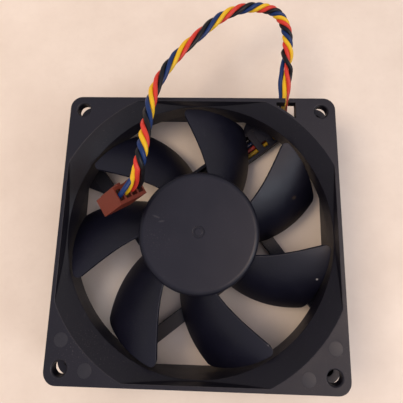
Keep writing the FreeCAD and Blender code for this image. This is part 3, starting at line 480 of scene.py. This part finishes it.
@dataclass(frozen=True)
class EnamelledWinding:
    """Copper wire under enamel, wound in turns that stack outwards from the axis, with painted shade in the
    grooves between turns.
    """

    name: str
    colour: Colour
    wire: float = 0.00022
    relief: float = 0.00008
    painted_gap_shade: float = 0.35
    heat_shade: float = 1.4
    heat_share: float = 0.4
    heat_scale: float = 320.0
    roughness: tuple[float, float] = (0.25, 0.4)

    def material(self) -> bpy.types.Material:
        """Returns the finish as a material, each turn a ring about the axis."""
        dress = Dressing(self.name)
        turns = dress.add("ShaderNodeTexWave", {
            "Vector": dress.place, "Scale": wave_scale(self.wire), "Distortion": 0.6, "Detail": 2.0},
            wave_type="RINGS", rings_direction="Z", wave_profile="SIN").outputs["Fac"]
        heat = dress.noise(dress.place, self.heat_scale, 3.0)
        browned = dress.math("MULTIPLY", heat, self.heat_share)
        # painted shade: darker where the turns meet, as if the grooves were in shadow
        body = dress.mix(turns, scaled(self.colour, self.painted_gap_shade), self.colour)
        body = dress.mix(browned, body, scaled(self.colour, self.heat_shade))
        dress.fix(Metallic=0.75, Coat_Weight=0.6, Coat_Roughness=0.15)
        dress.feed(Base_Color=body, Roughness=dress.span(heat, 0.3, 0.7, *self.roughness),
                   Normal=dress.bump(turns, self.relief))
        return dress.material


@dataclass(frozen=True)
class CoatedBoard:
    """Printed board under a solder coat, with paler tracks below it."""

    name: str
    colour: Colour
    track_scale: float = 260.0
    track_shade: float = 1.9
    track_share: float = 0.6
    weave_scale: float = 1500.0
    weave_shades: tuple[float, float] = (0.8, 1.15)
    roughness: tuple[float, float] = (0.25, 0.38)
    relief: float = 0.00003

    def material(self) -> bpy.types.Material:
        """Returns the finish as a material, with tracks on a grid of cells."""
        dress = Dressing(self.name)
        cells = dress.add("ShaderNodeTexBrick", {
            "Vector": dress.place, "Scale": self.track_scale, "Mortar Size": 0.03, "Bias": 0.1}, offset=0.35)
        tracks = cells.outputs["Fac"]
        weave = dress.noise(dress.place, self.weave_scale, 2.0)
        showing = dress.math("MULTIPLY", tracks, self.track_share)
        body = dress.mix(weave, *(scaled(self.colour, shade) for shade in self.weave_shades))
        body = dress.mix(showing, body, scaled(self.colour, self.track_shade))
        dress.feed(Base_Color=body, Roughness=dress.span(weave, 0.3, 0.7, *self.roughness),
                   Normal=dress.bump(tracks, self.relief))
        return dress.material


@dataclass(frozen=True)
class TableTop:
    """Pale matt table top with faint clouds and specks in its colour."""

    name: str
    colour: Colour
    cloud: Colour
    roughness: float
    cloud_scale: float = 22.0
    speck_scale: float = 420.0
    speck_share: float = 0.25
    gloss_spread: float = 0.05
    relief: float = 0.00003

    def material(self) -> bpy.types.Material:
        """Returns the finish as a material."""
        dress = Dressing(self.name)
        clouds = dress.span(dress.noise(dress.place, self.cloud_scale, 5.0, 0.65), 0.35, 0.7)
        specks = dress.noise(dress.place, self.speck_scale, 3.0, 0.6)
        dotted = dress.math("MULTIPLY", dress.span(specks, 0.5, 0.75), self.speck_share)
        body = dress.mix(clouds, self.colour, self.cloud)
        body = dress.mix(dotted, body, self.cloud)
        gloss = dress.span(clouds, 0.0, 1.0, self.roughness - self.gloss_spread, self.roughness)
        dress.feed(Base_Color=body, Roughness=gloss, Normal=dress.bump(specks, self.relief))
        return dress.material


HUB_SCUFF: Colour = (0.085, 0.080, 0.080)
PALE_SPECK: Colour = (0.62, 0.58, 0.52)
BROWN_SPECK: Colour = (0.055, 0.036, 0.022)
IMPELLER_MARKS = (
    Mark((-0.0140, 0.0047, 0.0245), (0.0016, 0.0004, 0.001), -18.0, HUB_SCUFF, 0.4),
    Mark((-0.0122, 0.0032, 0.0245), (0.0013, 0.0004, 0.001), 10.0, HUB_SCUFF, 0.35),
    Mark((0.0389, -0.0141, 0.015), (0.0005, 0.0004, 0.010), 0.0, PALE_SPECK, 0.8),
    Mark((0.0222, -0.0336, 0.015), (0.0004, 0.0004, 0.010), 0.0, PALE_SPECK, 0.7),
    Mark((0.0327, 0.0128, 0.015), (0.0011, 0.0008, 0.010), 30.0, BROWN_SPECK, 0.8))
FRAME_PLASTIC = MouldedPlastic(
    "frame_plastic", colour=(0.0048, 0.0040, 0.0078), worn=(0.09, 0.08, 0.078), roughness=0.50,
    grain=0.00028, relief=0.00003, edge_radius=0.0004, edge_wear=0.6, dust=0.2, rubs=0.2, sheen=0.31)
PIN_PLASTIC = MouldedPlastic(
    "frame_pin_plastic", colour=(0.0150, 0.0138, 0.0172), worn=(0.06, 0.052, 0.05), roughness=0.48,
    grain=0.0002, relief=0.00001, edge_radius=0.0001, edge_wear=0.2, dust=0.1, rubs=0.1, sheen=0.31)
IMPELLER_PLASTIC = MouldedPlastic(
    "impeller_plastic", colour=(0.0040, 0.0039, 0.0092), worn=(0.05, 0.05, 0.06), roughness=0.42,
    grain=0.00022, relief=0.000015, edge_radius=0.0003, edge_wear=0.25, dust=0.1, rubs=0.2, sheen=0.30,
    marks=IMPELLER_MARKS)
PLUG_PLASTIC = MouldedPlastic(
    "plug_plastic", colour=(0.122, 0.0185, 0.0085), worn=(0.26, 0.066, 0.036), roughness=0.42,
    grain=0.0004, relief=0.00001, edge_radius=0.0002, edge_wear=0.5, dust=0.05, rubs=0.2, sheen=0.25)
WHITE_NYLON = MouldedPlastic(
    "nylon", colour=(0.70, 0.69, 0.64), worn=(0.8, 0.79, 0.75), roughness=0.4,
    grain=0.0004, relief=0.00001, edge_radius=0.00015, edge_wear=0.3, dust=0.0, rubs=0.2)
BOBBIN_PLASTIC = MouldedPlastic(
    "insulator", colour=(0.62, 0.61, 0.55), worn=(0.75, 0.74, 0.7), roughness=0.45,
    grain=0.0003, relief=0.00001, edge_radius=0.00015, edge_wear=0.3, dust=0.0, rubs=0.2)
CHIP_RESIN = MouldedPlastic(
    "chip_resin", colour=(0.018, 0.018, 0.018), worn=(0.05, 0.05, 0.05), roughness=0.6,
    grain=0.0001, relief=0.00001, edge_radius=0.0001, edge_wear=0.4, dust=0.0, rubs=0.3)
FERRITE = MouldedPlastic(
    "bonded_ferrite", colour=(0.045, 0.041, 0.038), worn=(0.12, 0.11, 0.1), roughness=0.7,
    grain=0.0002, relief=0.00002, edge_radius=0.0002, edge_wear=0.5, dust=0.0, rubs=0.1)
BRASS = WorkedMetal("brass", (0.72, 0.55, 0.27), 0.25, ToolMarks.TURNED, spacing=0.0003)
BRONZE = WorkedMetal("bronze", (0.55, 0.38, 0.20), 0.45)
STEEL = WorkedMetal("steel", (0.60, 0.60, 0.62), 0.18)
CORE_STEEL = WorkedMetal("silicon_steel", (0.36, 0.36, 0.38), 0.4, ToolMarks.STACKED, spacing=0.0005,
                         relief=0.00005)
CUP_STEEL = WorkedMetal("drawn_steel", (0.50, 0.50, 0.52), 0.32, ToolMarks.TURNED, spacing=0.0006)
CAN_ALUMINIUM = WorkedMetal("can", (0.70, 0.70, 0.72), 0.25, ToolMarks.STACKED, spacing=0.0004)
TINNED_BRONZE = WorkedMetal("tinned_bronze", (0.70, 0.68, 0.62), 0.3)
ENAMEL_COPPER = EnamelledWinding("enamel_copper", (0.62, 0.26, 0.10))
BOARD_COAT = CoatedBoard("board_laminate", (0.06, 0.22, 0.10))
INSULATIONS = {
    "yellow": Insulation("yellow_insulation", (0.80, 0.46, 0.012)),
    "red": Insulation("red_insulation", (0.64, 0.042, 0.024)),
    "blue": Insulation("blue_insulation", (0.005, 0.026, 0.11)),
    "black": Insulation("black_insulation", (0.004, 0.004, 0.006)),
}


def dress_node(node: str, material: bpy.types.Material) -> None:
    """Gives a CAD node its finish.

    Args:
        node: the node's name.
        material: what it is to show.
    """
    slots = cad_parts[node].data.materials
    slots.clear()
    slots.append(material)


# Surfaces


@dataclass
class Surface:
    """Grids of points that together make one mesh."""

    points: list[Array] = field(default_factory=list)
    faces: list[list[int]] = field(default_factory=list)
    maps: list[Array] = field(default_factory=list)
    numbers: list[Array] = field(default_factory=list)
    count: int = 0

    def add_tube(self, rings: Array, along: Array, number: int = 0) -> None:
        """Adds a capped tube: ring i and turn j give vertex i m + j, and each quad joins two rings.

        Args:
            rings: points of every ring, as rows of turns.
            along: each ring's place along the tube, for the map.
            number: the material slot of its faces.
        """
        rows, turns = rings.shape[:2]
        first = self.count + turns * np.arange(rows - 1)[:, None] + np.arange(turns)[None, :]
        after = self.count + turns * np.arange(rows - 1)[:, None] + (np.arange(turns) + 1)[None, :] % turns
        quads = np.stack([first, after, after + turns, first + turns], axis=-1).reshape(-1, 4)
        last = self.count + turns * (rows - 1)
        around = np.arange(turns) / turns
        self.points.append(rings.reshape(-1, 3))
        self.faces += quads.tolist()
        self.faces.append(list(range(self.count + turns - 1, self.count - 1, -1)))
        self.faces.append(list(range(last, last + turns)))
        grid = np.stack(np.broadcast_arrays(around[None, :] * SLEEVE_MAP_WIDTH, along[:, None]), axis=-1)
        self.maps.append(grid.reshape(-1, 2))
        self.numbers.append(np.full(len(quads) + 2, number, dtype=np.int32))
        self.count += rows * turns

    def add_discs(self, rings: Array) -> None:
        """Adds discs: each one's rings run from a small middle ring outwards to its rim.

        Args:
            rings: points as disc, ring and turn.
        """
        for disc in rings[:, ::-1]:
            self.add_tube(disc, np.arange(len(disc)) * MM)

    def piece(self, name: str, materials: list[bpy.types.Material], body: str) -> bpy.types.Object:
        """Makes the object, smooth, at the origin, riding on a body.

        Args:
            name: the piece's name.
            materials: its material slots.
            body: the CAD body that it moves with.

        Returns:
            The new object.
        """
        mesh = bpy.data.meshes.new(name)
        mesh.from_pydata(np.concatenate(self.points).tolist(), [], self.faces)
        corners = np.empty(len(mesh.loops), dtype=np.int32)
        mesh.loops.foreach_get("vertex_index", corners)
        mesh.uv_layers.new(name="sleeve").data.foreach_set("uv", np.concatenate(self.maps)[corners].ravel())
        mesh.polygons.foreach_set("material_index", np.concatenate(self.numbers))
        mesh.polygons.foreach_set("use_smooth", np.ones(len(mesh.polygons), dtype=bool))
        for material in materials:
            mesh.materials.append(material)
        mesh.validate()
        made = bpy.data.objects.new(name, mesh)
        bpy.context.scene.collection.objects.link(made)
        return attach(made, body)


def unit(vectors: Array) -> Array:
    """Returns the vectors, each divided by its length."""
    return vectors / np.linalg.norm(vectors, axis=-1, keepdims=True)


def eased(at: Array, low: float, high: float) -> Array:
    """Smooth step from 0 to 1: three times the share squared less twice the share cubed."""
    share = np.clip((at - low) / (high - low), 0.0, 1.0)
    return share * share * (3.0 - 2.0 * share)


def curved(at: Array, keys: Array, values: Array) -> Array:
    """Smooth curve through given values: Hermite cubics with slopes from the differences of the neighbours.

    Args:
        at: where to work it out.
        keys: the places of the values, growing.
        values: a row for each key.

    Returns:
        A row for each place, held at the first and last value.
    """
    slopes = np.gradient(values, keys, axis=0)
    held = np.clip(at, keys[0], keys[-1])
    first = np.clip(np.searchsorted(keys, held, side="right") - 1, 0, len(keys) - 2)
    step = (keys[first + 1] - keys[first])[:, None]
    share = (held - keys[first])[:, None] / step
    return ((1 + 2 * share) * (1 - share) ** 2 * values[first]
            + share * (1 - share) ** 2 * step * slopes[first]
            + share ** 2 * (3 - 2 * share) * values[first + 1]
            + share ** 2 * (share - 1) * step * slopes[first + 1])


def tube_rings(line: Array, radius: float, turns: int, side: Array) -> Array:
    """Carries a circle along a line.

    A point is the centre plus the radius times the cosine on one cross axis and the sine on the other.

    Args:
        line: the points of the centre line.
        radius: the tube's radius.
        turns: points round each ring.
        side: a direction that the line never runs along, which starts each ring.

    Returns:
        The points as rings and turns.
    """
    ahead = unit(np.gradient(line, axis=0))
    front = unit(side - (ahead @ side)[:, None] * ahead)
    across = np.cross(ahead, front)
    angle = 2.0 * np.pi * np.arange(turns) / turns
    return line[:, None, :] + radius * (np.cos(angle)[None, :, None] * front[:, None, :]
                                        + np.sin(angle)[None, :, None] * across[:, None, :])


def slab(outline: Array, low: float, high: float, edge: float, levels: int = 4) -> Array:
    """Carries a convex outline upwards, drawn in by a quarter circle at the top and the bottom.

    Args:
        outline: its points in the plane, counter-clockwise.
        low: height of the bottom.
        high: height of the top.
        edge: radius of the rounded edges.
        levels: outlines over each rounded edge.

    Returns:
        The points as level and turn.
    """
    turn = np.linspace(0.0, np.pi / 2.0, levels)
    inset = edge * np.concatenate([1.0 - np.sin(turn), 1.0 - np.cos(turn)])
    height = np.concatenate([low + edge * (1.0 - np.cos(turn)), high - edge * (1.0 - np.sin(turn))])
    inward = unit(outline.mean(axis=0) - outline)
    flat = outline[None] + inset[:, None, None] * inward[None]
    return np.concatenate([flat, np.broadcast_to(height[:, None, None], (*flat.shape[:2], 1))], axis=-1)


# Sub-assemblies


@dataclass
class FanFrame:
    """The moulded frame: webs at the roots of its struts, tabs over its wires, and pin marks.

    Sizes are in millimetres and angles in degrees. Webs and tabs are given along a strut and off the fan's
    axis, as the struts are. A web starts on the strut's side and ends in the drum, at its round or straight
    part. A pin mark stands out by its rise, and its rim goes as far into the flange.
    """

    pin_places: tuple[tuple[float, float], ...] = (
        (-41.5, -33.2), (-33.4, -41.6), (41.9, -33.3), (33.6, -41.9))
    pin_radius: float = 2.15
    pin_rise: float = 0.03
    pin_rim: float = 0.06
    pin_flat: float = 2.05
    pin_middle: float = 0.02
    pin_turns: int = 40
    rim_rings: int = 6
    struts: int = 4
    strut_heading: float = 37.5
    strut_side: float = 20.75
    strut_top: float = 4.0
    web_start: float = 33.9
    web_slope: float = 32.5
    web_sink: float = 0.25
    web_rays: int = 9
    mouth_radius: float = 49.7
    mouth_side: float = 45.2
    tabs: tuple[tuple[tuple[float, float], tuple[float, float]], ...] = (
        ((38.9, 14.2), (44.0, 20.5)), ((41.4, 11.0), (44.2, 14.5)))
    tab_thickness: float = 0.9
    side_points: int = 6
    step_down: float = 0.08
    moulded_edge: float = 0.2

    def web_outline(self) -> Array:
        """Web: rays from its corner on the strut to the round mouth, or to its straight side if nearer.

        Returns:
            The outline, with points along the free edge last.
        """
        heading = np.radians(self.strut_heading)
        corner = np.array([self.web_start, self.strut_side - self.web_sink])
        angle = np.radians(np.linspace(0.0, self.web_slope, self.web_rays))
        ray = np.stack([np.cos(angle), np.sin(angle)], axis=-1)
        ahead = ray @ corner
        to_mouth = np.sqrt(ahead ** 2 - corner @ corner + self.mouth_radius ** 2) - ahead
        upright = np.array([np.sin(heading), np.cos(heading)])
        to_side = (self.mouth_side - corner @ upright) / (ray @ upright)
        far = corner + np.minimum(to_mouth, to_side)[:, None] * ray
        back = np.linspace(0.0, 1.0, self.side_points + 2)[1:-1, None]
        return np.concatenate([corner[None], far, far[-1] + back * (corner - far[-1])])

    def tab_outline(self, low: tuple[float, float], high: tuple[float, float]) -> Array:
        """Tab: a rectangle over the channel, with points along its sides.

        Args:
            low: its corner nearest to the motor and to the axis.
            high: its far corner.

        Returns:
            The outline.
        """
        corners = np.array([low, (high[0], low[1]), high, (low[0], high[1])])
        share = np.linspace(0.0, 1.0, self.side_points + 1)[:-1, None]
        sides = corners[:, None] + share[None] * (np.roll(corners, -1, axis=0) - corners)[:, None]
        return sides.reshape(-1, 2)

    def on_strut(self, rings: Array, number: int) -> Array:
        """Turns points along and off a strut to that strut's heading.

        Args:
            rings: points along the strut, off the axis and upwards.
            number: the strut, counted from the wires' one.

        Returns:
            The points in the fan's frame, in metres.
        """
        heading = np.radians(self.strut_heading + 360.0 * number / self.struts)
        along, off, height = np.moveaxis(rings, -1, 0)
        return MM * np.stack([along * np.cos(heading) - off * np.sin(heading),
                              along * np.sin(heading) + off * np.cos(heading), height], axis=-1)

    def build_webs(self, finish: bpy.types.Material) -> bpy.types.Object:
        """Makes the webs and the tabs, as slabs just under the top of the struts.

        Args:
            finish: the frame's material.

        Returns:
            The piece.
        """
        top = self.strut_top - self.step_down
        web = slab(self.web_outline(), self.step_down, top, self.moulded_edge)
        surface = Surface()
        for number in range(self.struts):
            surface.add_tube(self.on_strut(web, number), web[:, 0, 2] * MM)
        for low, high in self.tabs:
            tab = slab(self.tab_outline(low, high), top - self.tab_thickness, top, self.moulded_edge)
            surface.add_tube(self.on_strut(tab, 0), tab[:, 0, 2] * MM)
        piece = surface.piece("frame_strut_webs", [finish], "frame")
        return piece

    def build_pins(self, finish: bpy.types.Material) -> bpy.types.Object:
        """Makes the pin marks: low discs whose rim falls as a quarter circle into the flange.

        Args:
            finish: their material.

        Returns:
            The piece.
        """
        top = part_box("frame")[1].z / MM
        flat = np.array([self.pin_middle, 0.5 * self.pin_radius, self.pin_flat])
        fall = np.linspace(0.0, np.pi / 2.0, self.rim_rings)
        reach = np.concatenate([flat, self.pin_radius - self.pin_rim + self.pin_rim * np.sin(fall)])
        sinking = 2.0 * self.pin_rise * np.cos(fall) - self.pin_rise
        height = np.concatenate([np.full_like(flat, self.pin_rise), sinking])
        angle = 2.0 * np.pi * np.arange(self.pin_turns) / self.pin_turns
        disc = np.stack(np.broadcast_arrays(
            reach[:, None] * np.cos(angle), reach[:, None] * np.sin(angle), height[:, None] + top), axis=-1)
        places = np.array([(*place, 0.0) for place in self.pin_places])
        surface = Surface()
        surface.add_discs((disc[None] + places[:, None, None, :]) * MM)
        piece = surface.piece("frame_pin_marks", [finish], "frame")
        return piece

    def dress(self) -> None:
        """Finishes the frame, its webs and its pin marks."""
        plastic = FRAME_PLASTIC.material()
        dress_node("frame", plastic)
        self.build_webs(plastic)
        self.build_pins(PIN_PLASTIC.material())


@dataclass
class Rotor:
    """Everything that turns: the impeller and the parts that it carries."""

    shaft_parts: tuple[str, ...] = ("shaft_clip", "oil_washer")

    def dress(self) -> None:
        """Finishes the impeller, its steel cup, magnet, shaft and the small parts on the shaft."""
        dress_node("impeller", IMPELLER_PLASTIC.material())
        dress_node("rotor_yoke", CUP_STEEL.material())
        dress_node("rotor_magnet", FERRITE.material())
        dress_node("shaft_bush", BRASS.material())
        dress_node("shaft", STEEL.material())
        small = WHITE_NYLON.material()
        for node in self.shaft_parts:
            dress_node(node, small)


@dataclass
class Stator:
    """The still half of the motor: bearing, wound core and circuit board."""

    coils: int = 4
    bobbins: tuple[str, ...] = ("bobbin_lower", "bobbin_upper")
    board_parts: tuple[str, ...] = ("driver_chip", "hall_sensor", "board_resistors")

    def dress(self) -> None:
        """Finishes the bearing, core, bobbins, coils, board and what the board carries."""
        dress_node("bearing_tube", BRASS.material())
        dress_node("sleeve_bearing", BRONZE.material())
        dress_node("thrust_pad", WHITE_NYLON.material())
        dress_node("stator_core", CORE_STEEL.material())
        bobbin, winding = BOBBIN_PLASTIC.material(), ENAMEL_COPPER.material()
        for node in self.bobbins:
            dress_node(node, bobbin)
        for number in range(1, self.coils + 1):
            dress_node(f"stator_coil_{number}", winding)
        dress_node("circuit_board", BOARD_COAT.material())
        resin = CHIP_RESIN.material()
        for node in self.board_parts:
            dress_node(node, resin)
        dress_node("board_capacitor", CAN_ALUMINIUM.material())


@dataclass
class Strand:
    """One wire of the lead.

    Attributes:
        colour: the name of its insulation.
        offset: its share of a turn behind the yellow wire.
        way: its place in the row of the plug, from the middle.
        start: its place across the lead at each of the lead's start keys, right and towards the camera.
    """

    colour: str
    offset: float
    way: float
    start: tuple[tuple[float, float], ...]


@dataclass
class TwistedLead:
    """Four insulated wires laid together, from the notch in the frame to the plug.

    Sizes are in millimetres, and places along the lead are counted from the notch. At each place of facing,
    one turn apart, the yellow wire faces the camera. Up to the last start key each wire has its own loose
    way, and over the fan the wires spread to the plug's row. Front points to the camera, and plug_row along
    the plug's ways.
    """

    route: tuple[Point, ...] = (
        (29.3, 45.4, 18.0), (30.5, 56.7, 19.6), (31.2, 66.4, 21.0), (31.1, 74.1, 21.9), (27.9, 80.8, 22.8),
        (20.9, 82.7, 23.8), (13.1, 81.2, 24.9), (5.9, 76.8, 26.1), (-1.0, 69.4, 27.5), (-7.3, 62.1, 29.0),
        (-12.4, 54.3, 30.6), (-15.5, 46.6, 32.4), (-16.4, 39.1, 35.0), (-16.4, 32.5, 38.4),
        (-16.4, 26.3, 41.4), (-16.7, 21.3, 42.8), (-17.3, 18.0, 42.0), (-18.3, 15.2, 40.0),
        (-19.5, 12.9, 37.7), (-20.88, 11.58, 35.71), (-21.83, 11.15, 34.63))
    front: Point = (0.0438, -0.2587, 0.965)
    plug_row: Point = (0.576, 0.445, -0.686)
    length: float = 138.0
    diameter: float = 3.85
    wire: float = 1.55
    lay_radius: float = 1.15
    facing: tuple[float, ...] = (23.0, 33.5, 42.8, 58.5, 81.5, 102.5, 120.6)
    first_lay: float = -0.6
    last_lay: tuple[float, float] = (129.0, 7.75)
    start_keys: tuple[float, ...] = (0.0, 4.0, 6.0, 8.0, 12.6, 14.1, 15.6, 18.0, 20.5, 23.0)
    fan: tuple[float, float] = (127.5, 136.5)
    bow_from: float = 2.5
    spline_steps: int = 24
    rings: int = 420
    ring_turns: int = 16
    strands: tuple[Strand, ...] = (
        Strand("yellow", 0.0, -1.25, (
            (0.0, 1.36), (-0.1, 1.3), (-0.25, 0.95), (-0.35, 0.45), (-0.1, -0.5), (0.1, -0.95), (0.35, -1.3),
            (1.35, -0.7), (1.25, 0.45), (0.0, 1.15))),
        Strand("red", 0.75, 1.25, (
            (0.82, 0.0), (1.05, 0.1), (1.25, 0.4), (1.1, 1.0), (-0.1, 1.15), (-0.2, 0.6), (-0.1, 0.2),
            (0.15, 0.4), (-0.4, 0.7), (-1.15, 0.0))),
        Strand("blue", 0.25, -3.7, (
            (-0.82, 0.0), (-1.15, -0.05), (-1.5, -0.1), (-1.8, -0.2), (-1.7, -0.1), (-1.65, -0.3),
            (-1.45, -0.65), (-0.9, -1.1), (0.2, -1.3), (1.15, 0.0))),
        Strand("black", 0.5, 3.7, (
            (0.0, -1.36), (0.3, -1.3), (0.7, -1.1), (1.1, -0.75), (1.5, 0.35), (1.2, 1.4), (0.1, 1.8),
            (-1.2, 1.1), (-1.5, -0.65), (0.0, -1.15))))

    def centre_line(self) -> Array:
        """Returns points along the route's NURBS spline, in millimetres."""
        curve = bpy.data.curves.new("lead_route", "CURVE")
        curve.dimensions = "3D"
        curve.resolution_u = self.spline_steps
        spline = curve.splines.new("NURBS")
        spline.points.add(len(self.route) - 1)
        spline.points.foreach_set("co", np.array([(*point, 1.0) for point in self.route]).ravel())
        spline.order_u = 3
        spline.use_endpoint_u = True
        carrier = bpy.data.objects.new("lead_route", curve)
        mesh = bpy.data.meshes.new_from_object(carrier)
        line = np.empty(3 * len(mesh.vertices))
        mesh.vertices.foreach_get("co", line)
        bpy.data.meshes.remove(mesh)
        bpy.data.objects.remove(carrier)
        bpy.data.curves.remove(curve)
        return line.reshape(-1, 3)

    def strand_line(self, strand: Strand, centre: Array, along: Array) -> Array:
        """Works out where a wire runs: loose at the start, laid in turns, and spread to its way in the plug.

        In the laid part its angle about the centre line, from the camera's side, is its offset less the turns
        so far, in whole turns. The spread moves it to its place on the plug's row, and the wire that crosses
        bows away from the camera as a parabola of the spread.

        Args:
            strand: the wire.
            centre: points of the lead's centre line, evenly spaced.
            along: their distance from the exit.

        Returns:
            The wire's centre line.
        """
        ahead = unit(np.gradient(centre, axis=0))
        side = np.array(self.front)
        toward = unit(side - (ahead @ side)[:, None] * ahead)
        right = np.cross(ahead, toward)
        keys = np.array([0.0, *self.facing, self.last_lay[0]])
        laid = np.array([self.first_lay, *range(1, len(self.facing) + 1), self.last_lay[1]])
        turns = curved(along, keys, laid[:, None])[:, 0]
        angle = 2.0 * np.pi * (strand.offset - turns)
        wound = self.lay_radius * np.stack([np.sin(angle), np.cos(angle)], axis=1)
        loose = curved(along, np.array(self.start_keys), np.array(strand.start))
        taken = eased(along, self.start_keys[-2], self.start_keys[-1])[:, None]
        across = (1.0 - taken) * loose + taken * wound
        spread = eased(along, *self.fan)[:, None]
        bow = 4.0 * spread * (1.0 - spread) * max(0.0, -strand.way - self.bow_from)
        held = across[:, :1] * right + across[:, 1:] * toward
        return centre + (1.0 - spread) * held + spread * strand.way * np.array(self.plug_row) - bow * toward

    def build(self) -> bpy.types.Object:
        """Returns:
            The piece.
        """
        route = self.centre_line()
        steps = np.concatenate([[0.0], np.cumsum(np.linalg.norm(np.diff(route, axis=0), axis=1))])
        along = np.linspace(0.0, steps[-1], self.rings)
        centre = np.stack([np.interp(along, steps, route[:, axis]) for axis in range(3)], axis=1)
        surface = Surface()
        for number, strand in enumerate(self.strands):
            line = self.strand_line(strand, centre, along)
            rings = tube_rings(line, self.wire / 2.0, self.ring_turns, np.array(self.front))
            surface.add_tube(rings * MM, along * MM, number)
        finishes = [INSULATIONS[strand.colour].material(Wrap.SLEEVE) for strand in self.strands]
        piece = surface.piece("lead_wires", finishes, "frame")
        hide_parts("fan_lead")
        return piece

    def dress(self) -> None:
        """Finishes the wires in the frame's channel, darkened with painted shade, the plug and its contacts.
        """
        for strand in self.strands:
            # the channel wires' solid finish carries painted shade
            dress_node(f"wire_{strand.colour}", INSULATIONS[strand.colour].material(Wrap.SOLID))
        dress_node("plug_housing", PLUG_PLASTIC.material())
        dress_node("plug_contacts", TINNED_BRONZE.material())


@dataclass
class Lamp:
    """A soft square lamp that looks at the fan. Sizes are in metres.

    A lamp that doesn't shine has no reflection in a gloss, and one that doesn't light is only seen there.
    """

    name: str
    place: Point
    size: float
    power: float
    colour: Colour
    lights: bool = True
    shines: bool = True

    def build(self) -> None:
        """Hangs the lamp."""
        light = bpy.data.lights.new(self.name, "AREA")
        light.shape = "SQUARE"
        light.size = self.size
        light.energy = self.power
        light.color = self.colour
        lamp = bpy.data.objects.new(self.name, light)
        lamp.matrix_world = Matrix.LocRotScale(
            Vector(self.place), (-Vector(self.place)).to_track_quat("-Z", "Y"), None)
        lamp.visible_diffuse = self.lights
        lamp.visible_glossy = self.shines
        bpy.context.scene.collection.objects.link(lamp)


@dataclass
class Studio:
    """Camera, table, lamps and the room's own light.

    The camera's focal length and middle are in pixels of the photograph, its place in millimetres, and the
    table's side in metres. Over ceiling_rise, the height of a direction, the walls' light gives way to the
    ceiling's.
    """

    image_side: float = 403.0
    focal: float = 430.03
    middle: tuple[float, float] = (202.88, 137.80)
    sensor: float = 36.0
    near_clip: float = 0.005
    eye: Point = (7.203, -6.537, 166.754)
    right: Point = (0.99898, 0.02162, -0.03953)
    down: Point = (0.01064, -0.96572, -0.25937)
    ahead: Point = (-0.04378, 0.25868, -0.96497)
    table_side: float = 4.0
    table_cells: int = 8
    table_drop: float = 0.1
    table: TableTop = TableTop("table_top", (0.82, 0.68, 0.54), (0.73, 0.59, 0.46), 0.5)
    ceiling: Colour = (0.76, 0.75, 0.92)
    walls: Colour = (0.66, 0.63, 0.60)
    ceiling_rise: tuple[float, float] = (0.45, 0.85)
    lamps: tuple[Lamp, ...] = (
        Lamp("key_lamp", (-0.35, 0.05, 0.66), 0.34, 2.3, (1.0, 0.84, 0.66), shines=False),
        Lamp("side_lamp", (0.60, -0.22, 0.44), 0.3, 1.6, (0.76, 0.86, 1.0)),
        Lamp("shine_card", (0.36, -0.10, 0.72), 0.34, 3.6, (1.0, 0.76, 0.60), lights=False))

    def build_camera(self) -> None:
        """Sets the camera where the photograph was taken from."""
        data = bpy.data.cameras.new("photo_camera")
        data.sensor_width = self.sensor
        data.lens = self.focal * self.sensor / self.image_side
        data.shift_x = (0.5 * self.image_side - self.middle[0]) / self.image_side
        data.shift_y = (self.middle[1] - 0.5 * self.image_side) / self.image_side
        data.clip_start = self.near_clip
        camera = bpy.data.objects.new("photo_camera", data)
        up, back = -Vector(self.down), -Vector(self.ahead)
        turned = Matrix((self.right, up, back)).transposed()
        camera.matrix_world = Matrix.LocRotScale(Vector(self.eye) * MM, turned.to_quaternion(), None)
        bpy.context.scene.collection.objects.link(camera)
        bpy.context.scene.camera = camera

    def build_table(self) -> None:
        """Lays the table: a flat square grid of cells, just below the fan."""
        cells, row = np.arange(self.table_cells), self.table_cells + 1
        edge = np.linspace(-0.5, 0.5, row) * self.table_side
        across, away = np.meshgrid(edge, edge)
        height = np.full_like(across, -self.table_drop * MM)
        points = np.stack([across, away, height], axis=-1).reshape(-1, 3)
        corner = (cells[:, None] * row + cells[None, :]).reshape(-1, 1)
        mesh = bpy.data.meshes.new("table_top")
        mesh.from_pydata(points.tolist(), [], (corner + np.array([0, 1, row + 1, row])).tolist())
        mesh.materials.append(self.table.material())
        table = bpy.data.objects.new("table_top", mesh)
        bpy.context.scene.collection.objects.link(table)
        table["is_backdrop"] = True

    def build_room(self) -> None:
        """Lights the room by a bright ceiling over dimmer walls, by the height of each direction."""
        world = bpy.data.worlds.new("room")
        world.use_nodes = True
        bpy.context.scene.world = world
        graph = Graph(world.node_tree)
        heading = graph.add("ShaderNodeTexCoord").outputs["Generated"]
        height = graph.add("ShaderNodeSeparateXYZ", {0: heading}).outputs["Z"]
        light = graph.mix(graph.span(height, *self.ceiling_rise), self.walls, self.ceiling)
        graph.tree.links.new(light, world.node_tree.nodes["Background"].inputs["Color"])

    def build(self) -> None:
        """Sets up the whole studio."""
        bpy.context.scene.view_settings.view_transform = "Standard"
        self.build_camera()
        self.build_table()
        self.build_room()
        for lamp in self.lamps:
            lamp.build()


def main() -> None:
    """Builds the studio and every sub-assembly, and reports each piece."""
    logging.basicConfig(level=logging.INFO)
    Studio().build()
    lead = TwistedLead()
    lead.build()
    lead.dress()
    FanFrame().dress()
    Rotor().dress()
    Stator().dress()
    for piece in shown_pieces():
        LOG.info("%s: %d faces, %s", piece.name, len(piece.data.polygons), piece.data.materials[0].name)


if __name__ == "__main__":
    main()
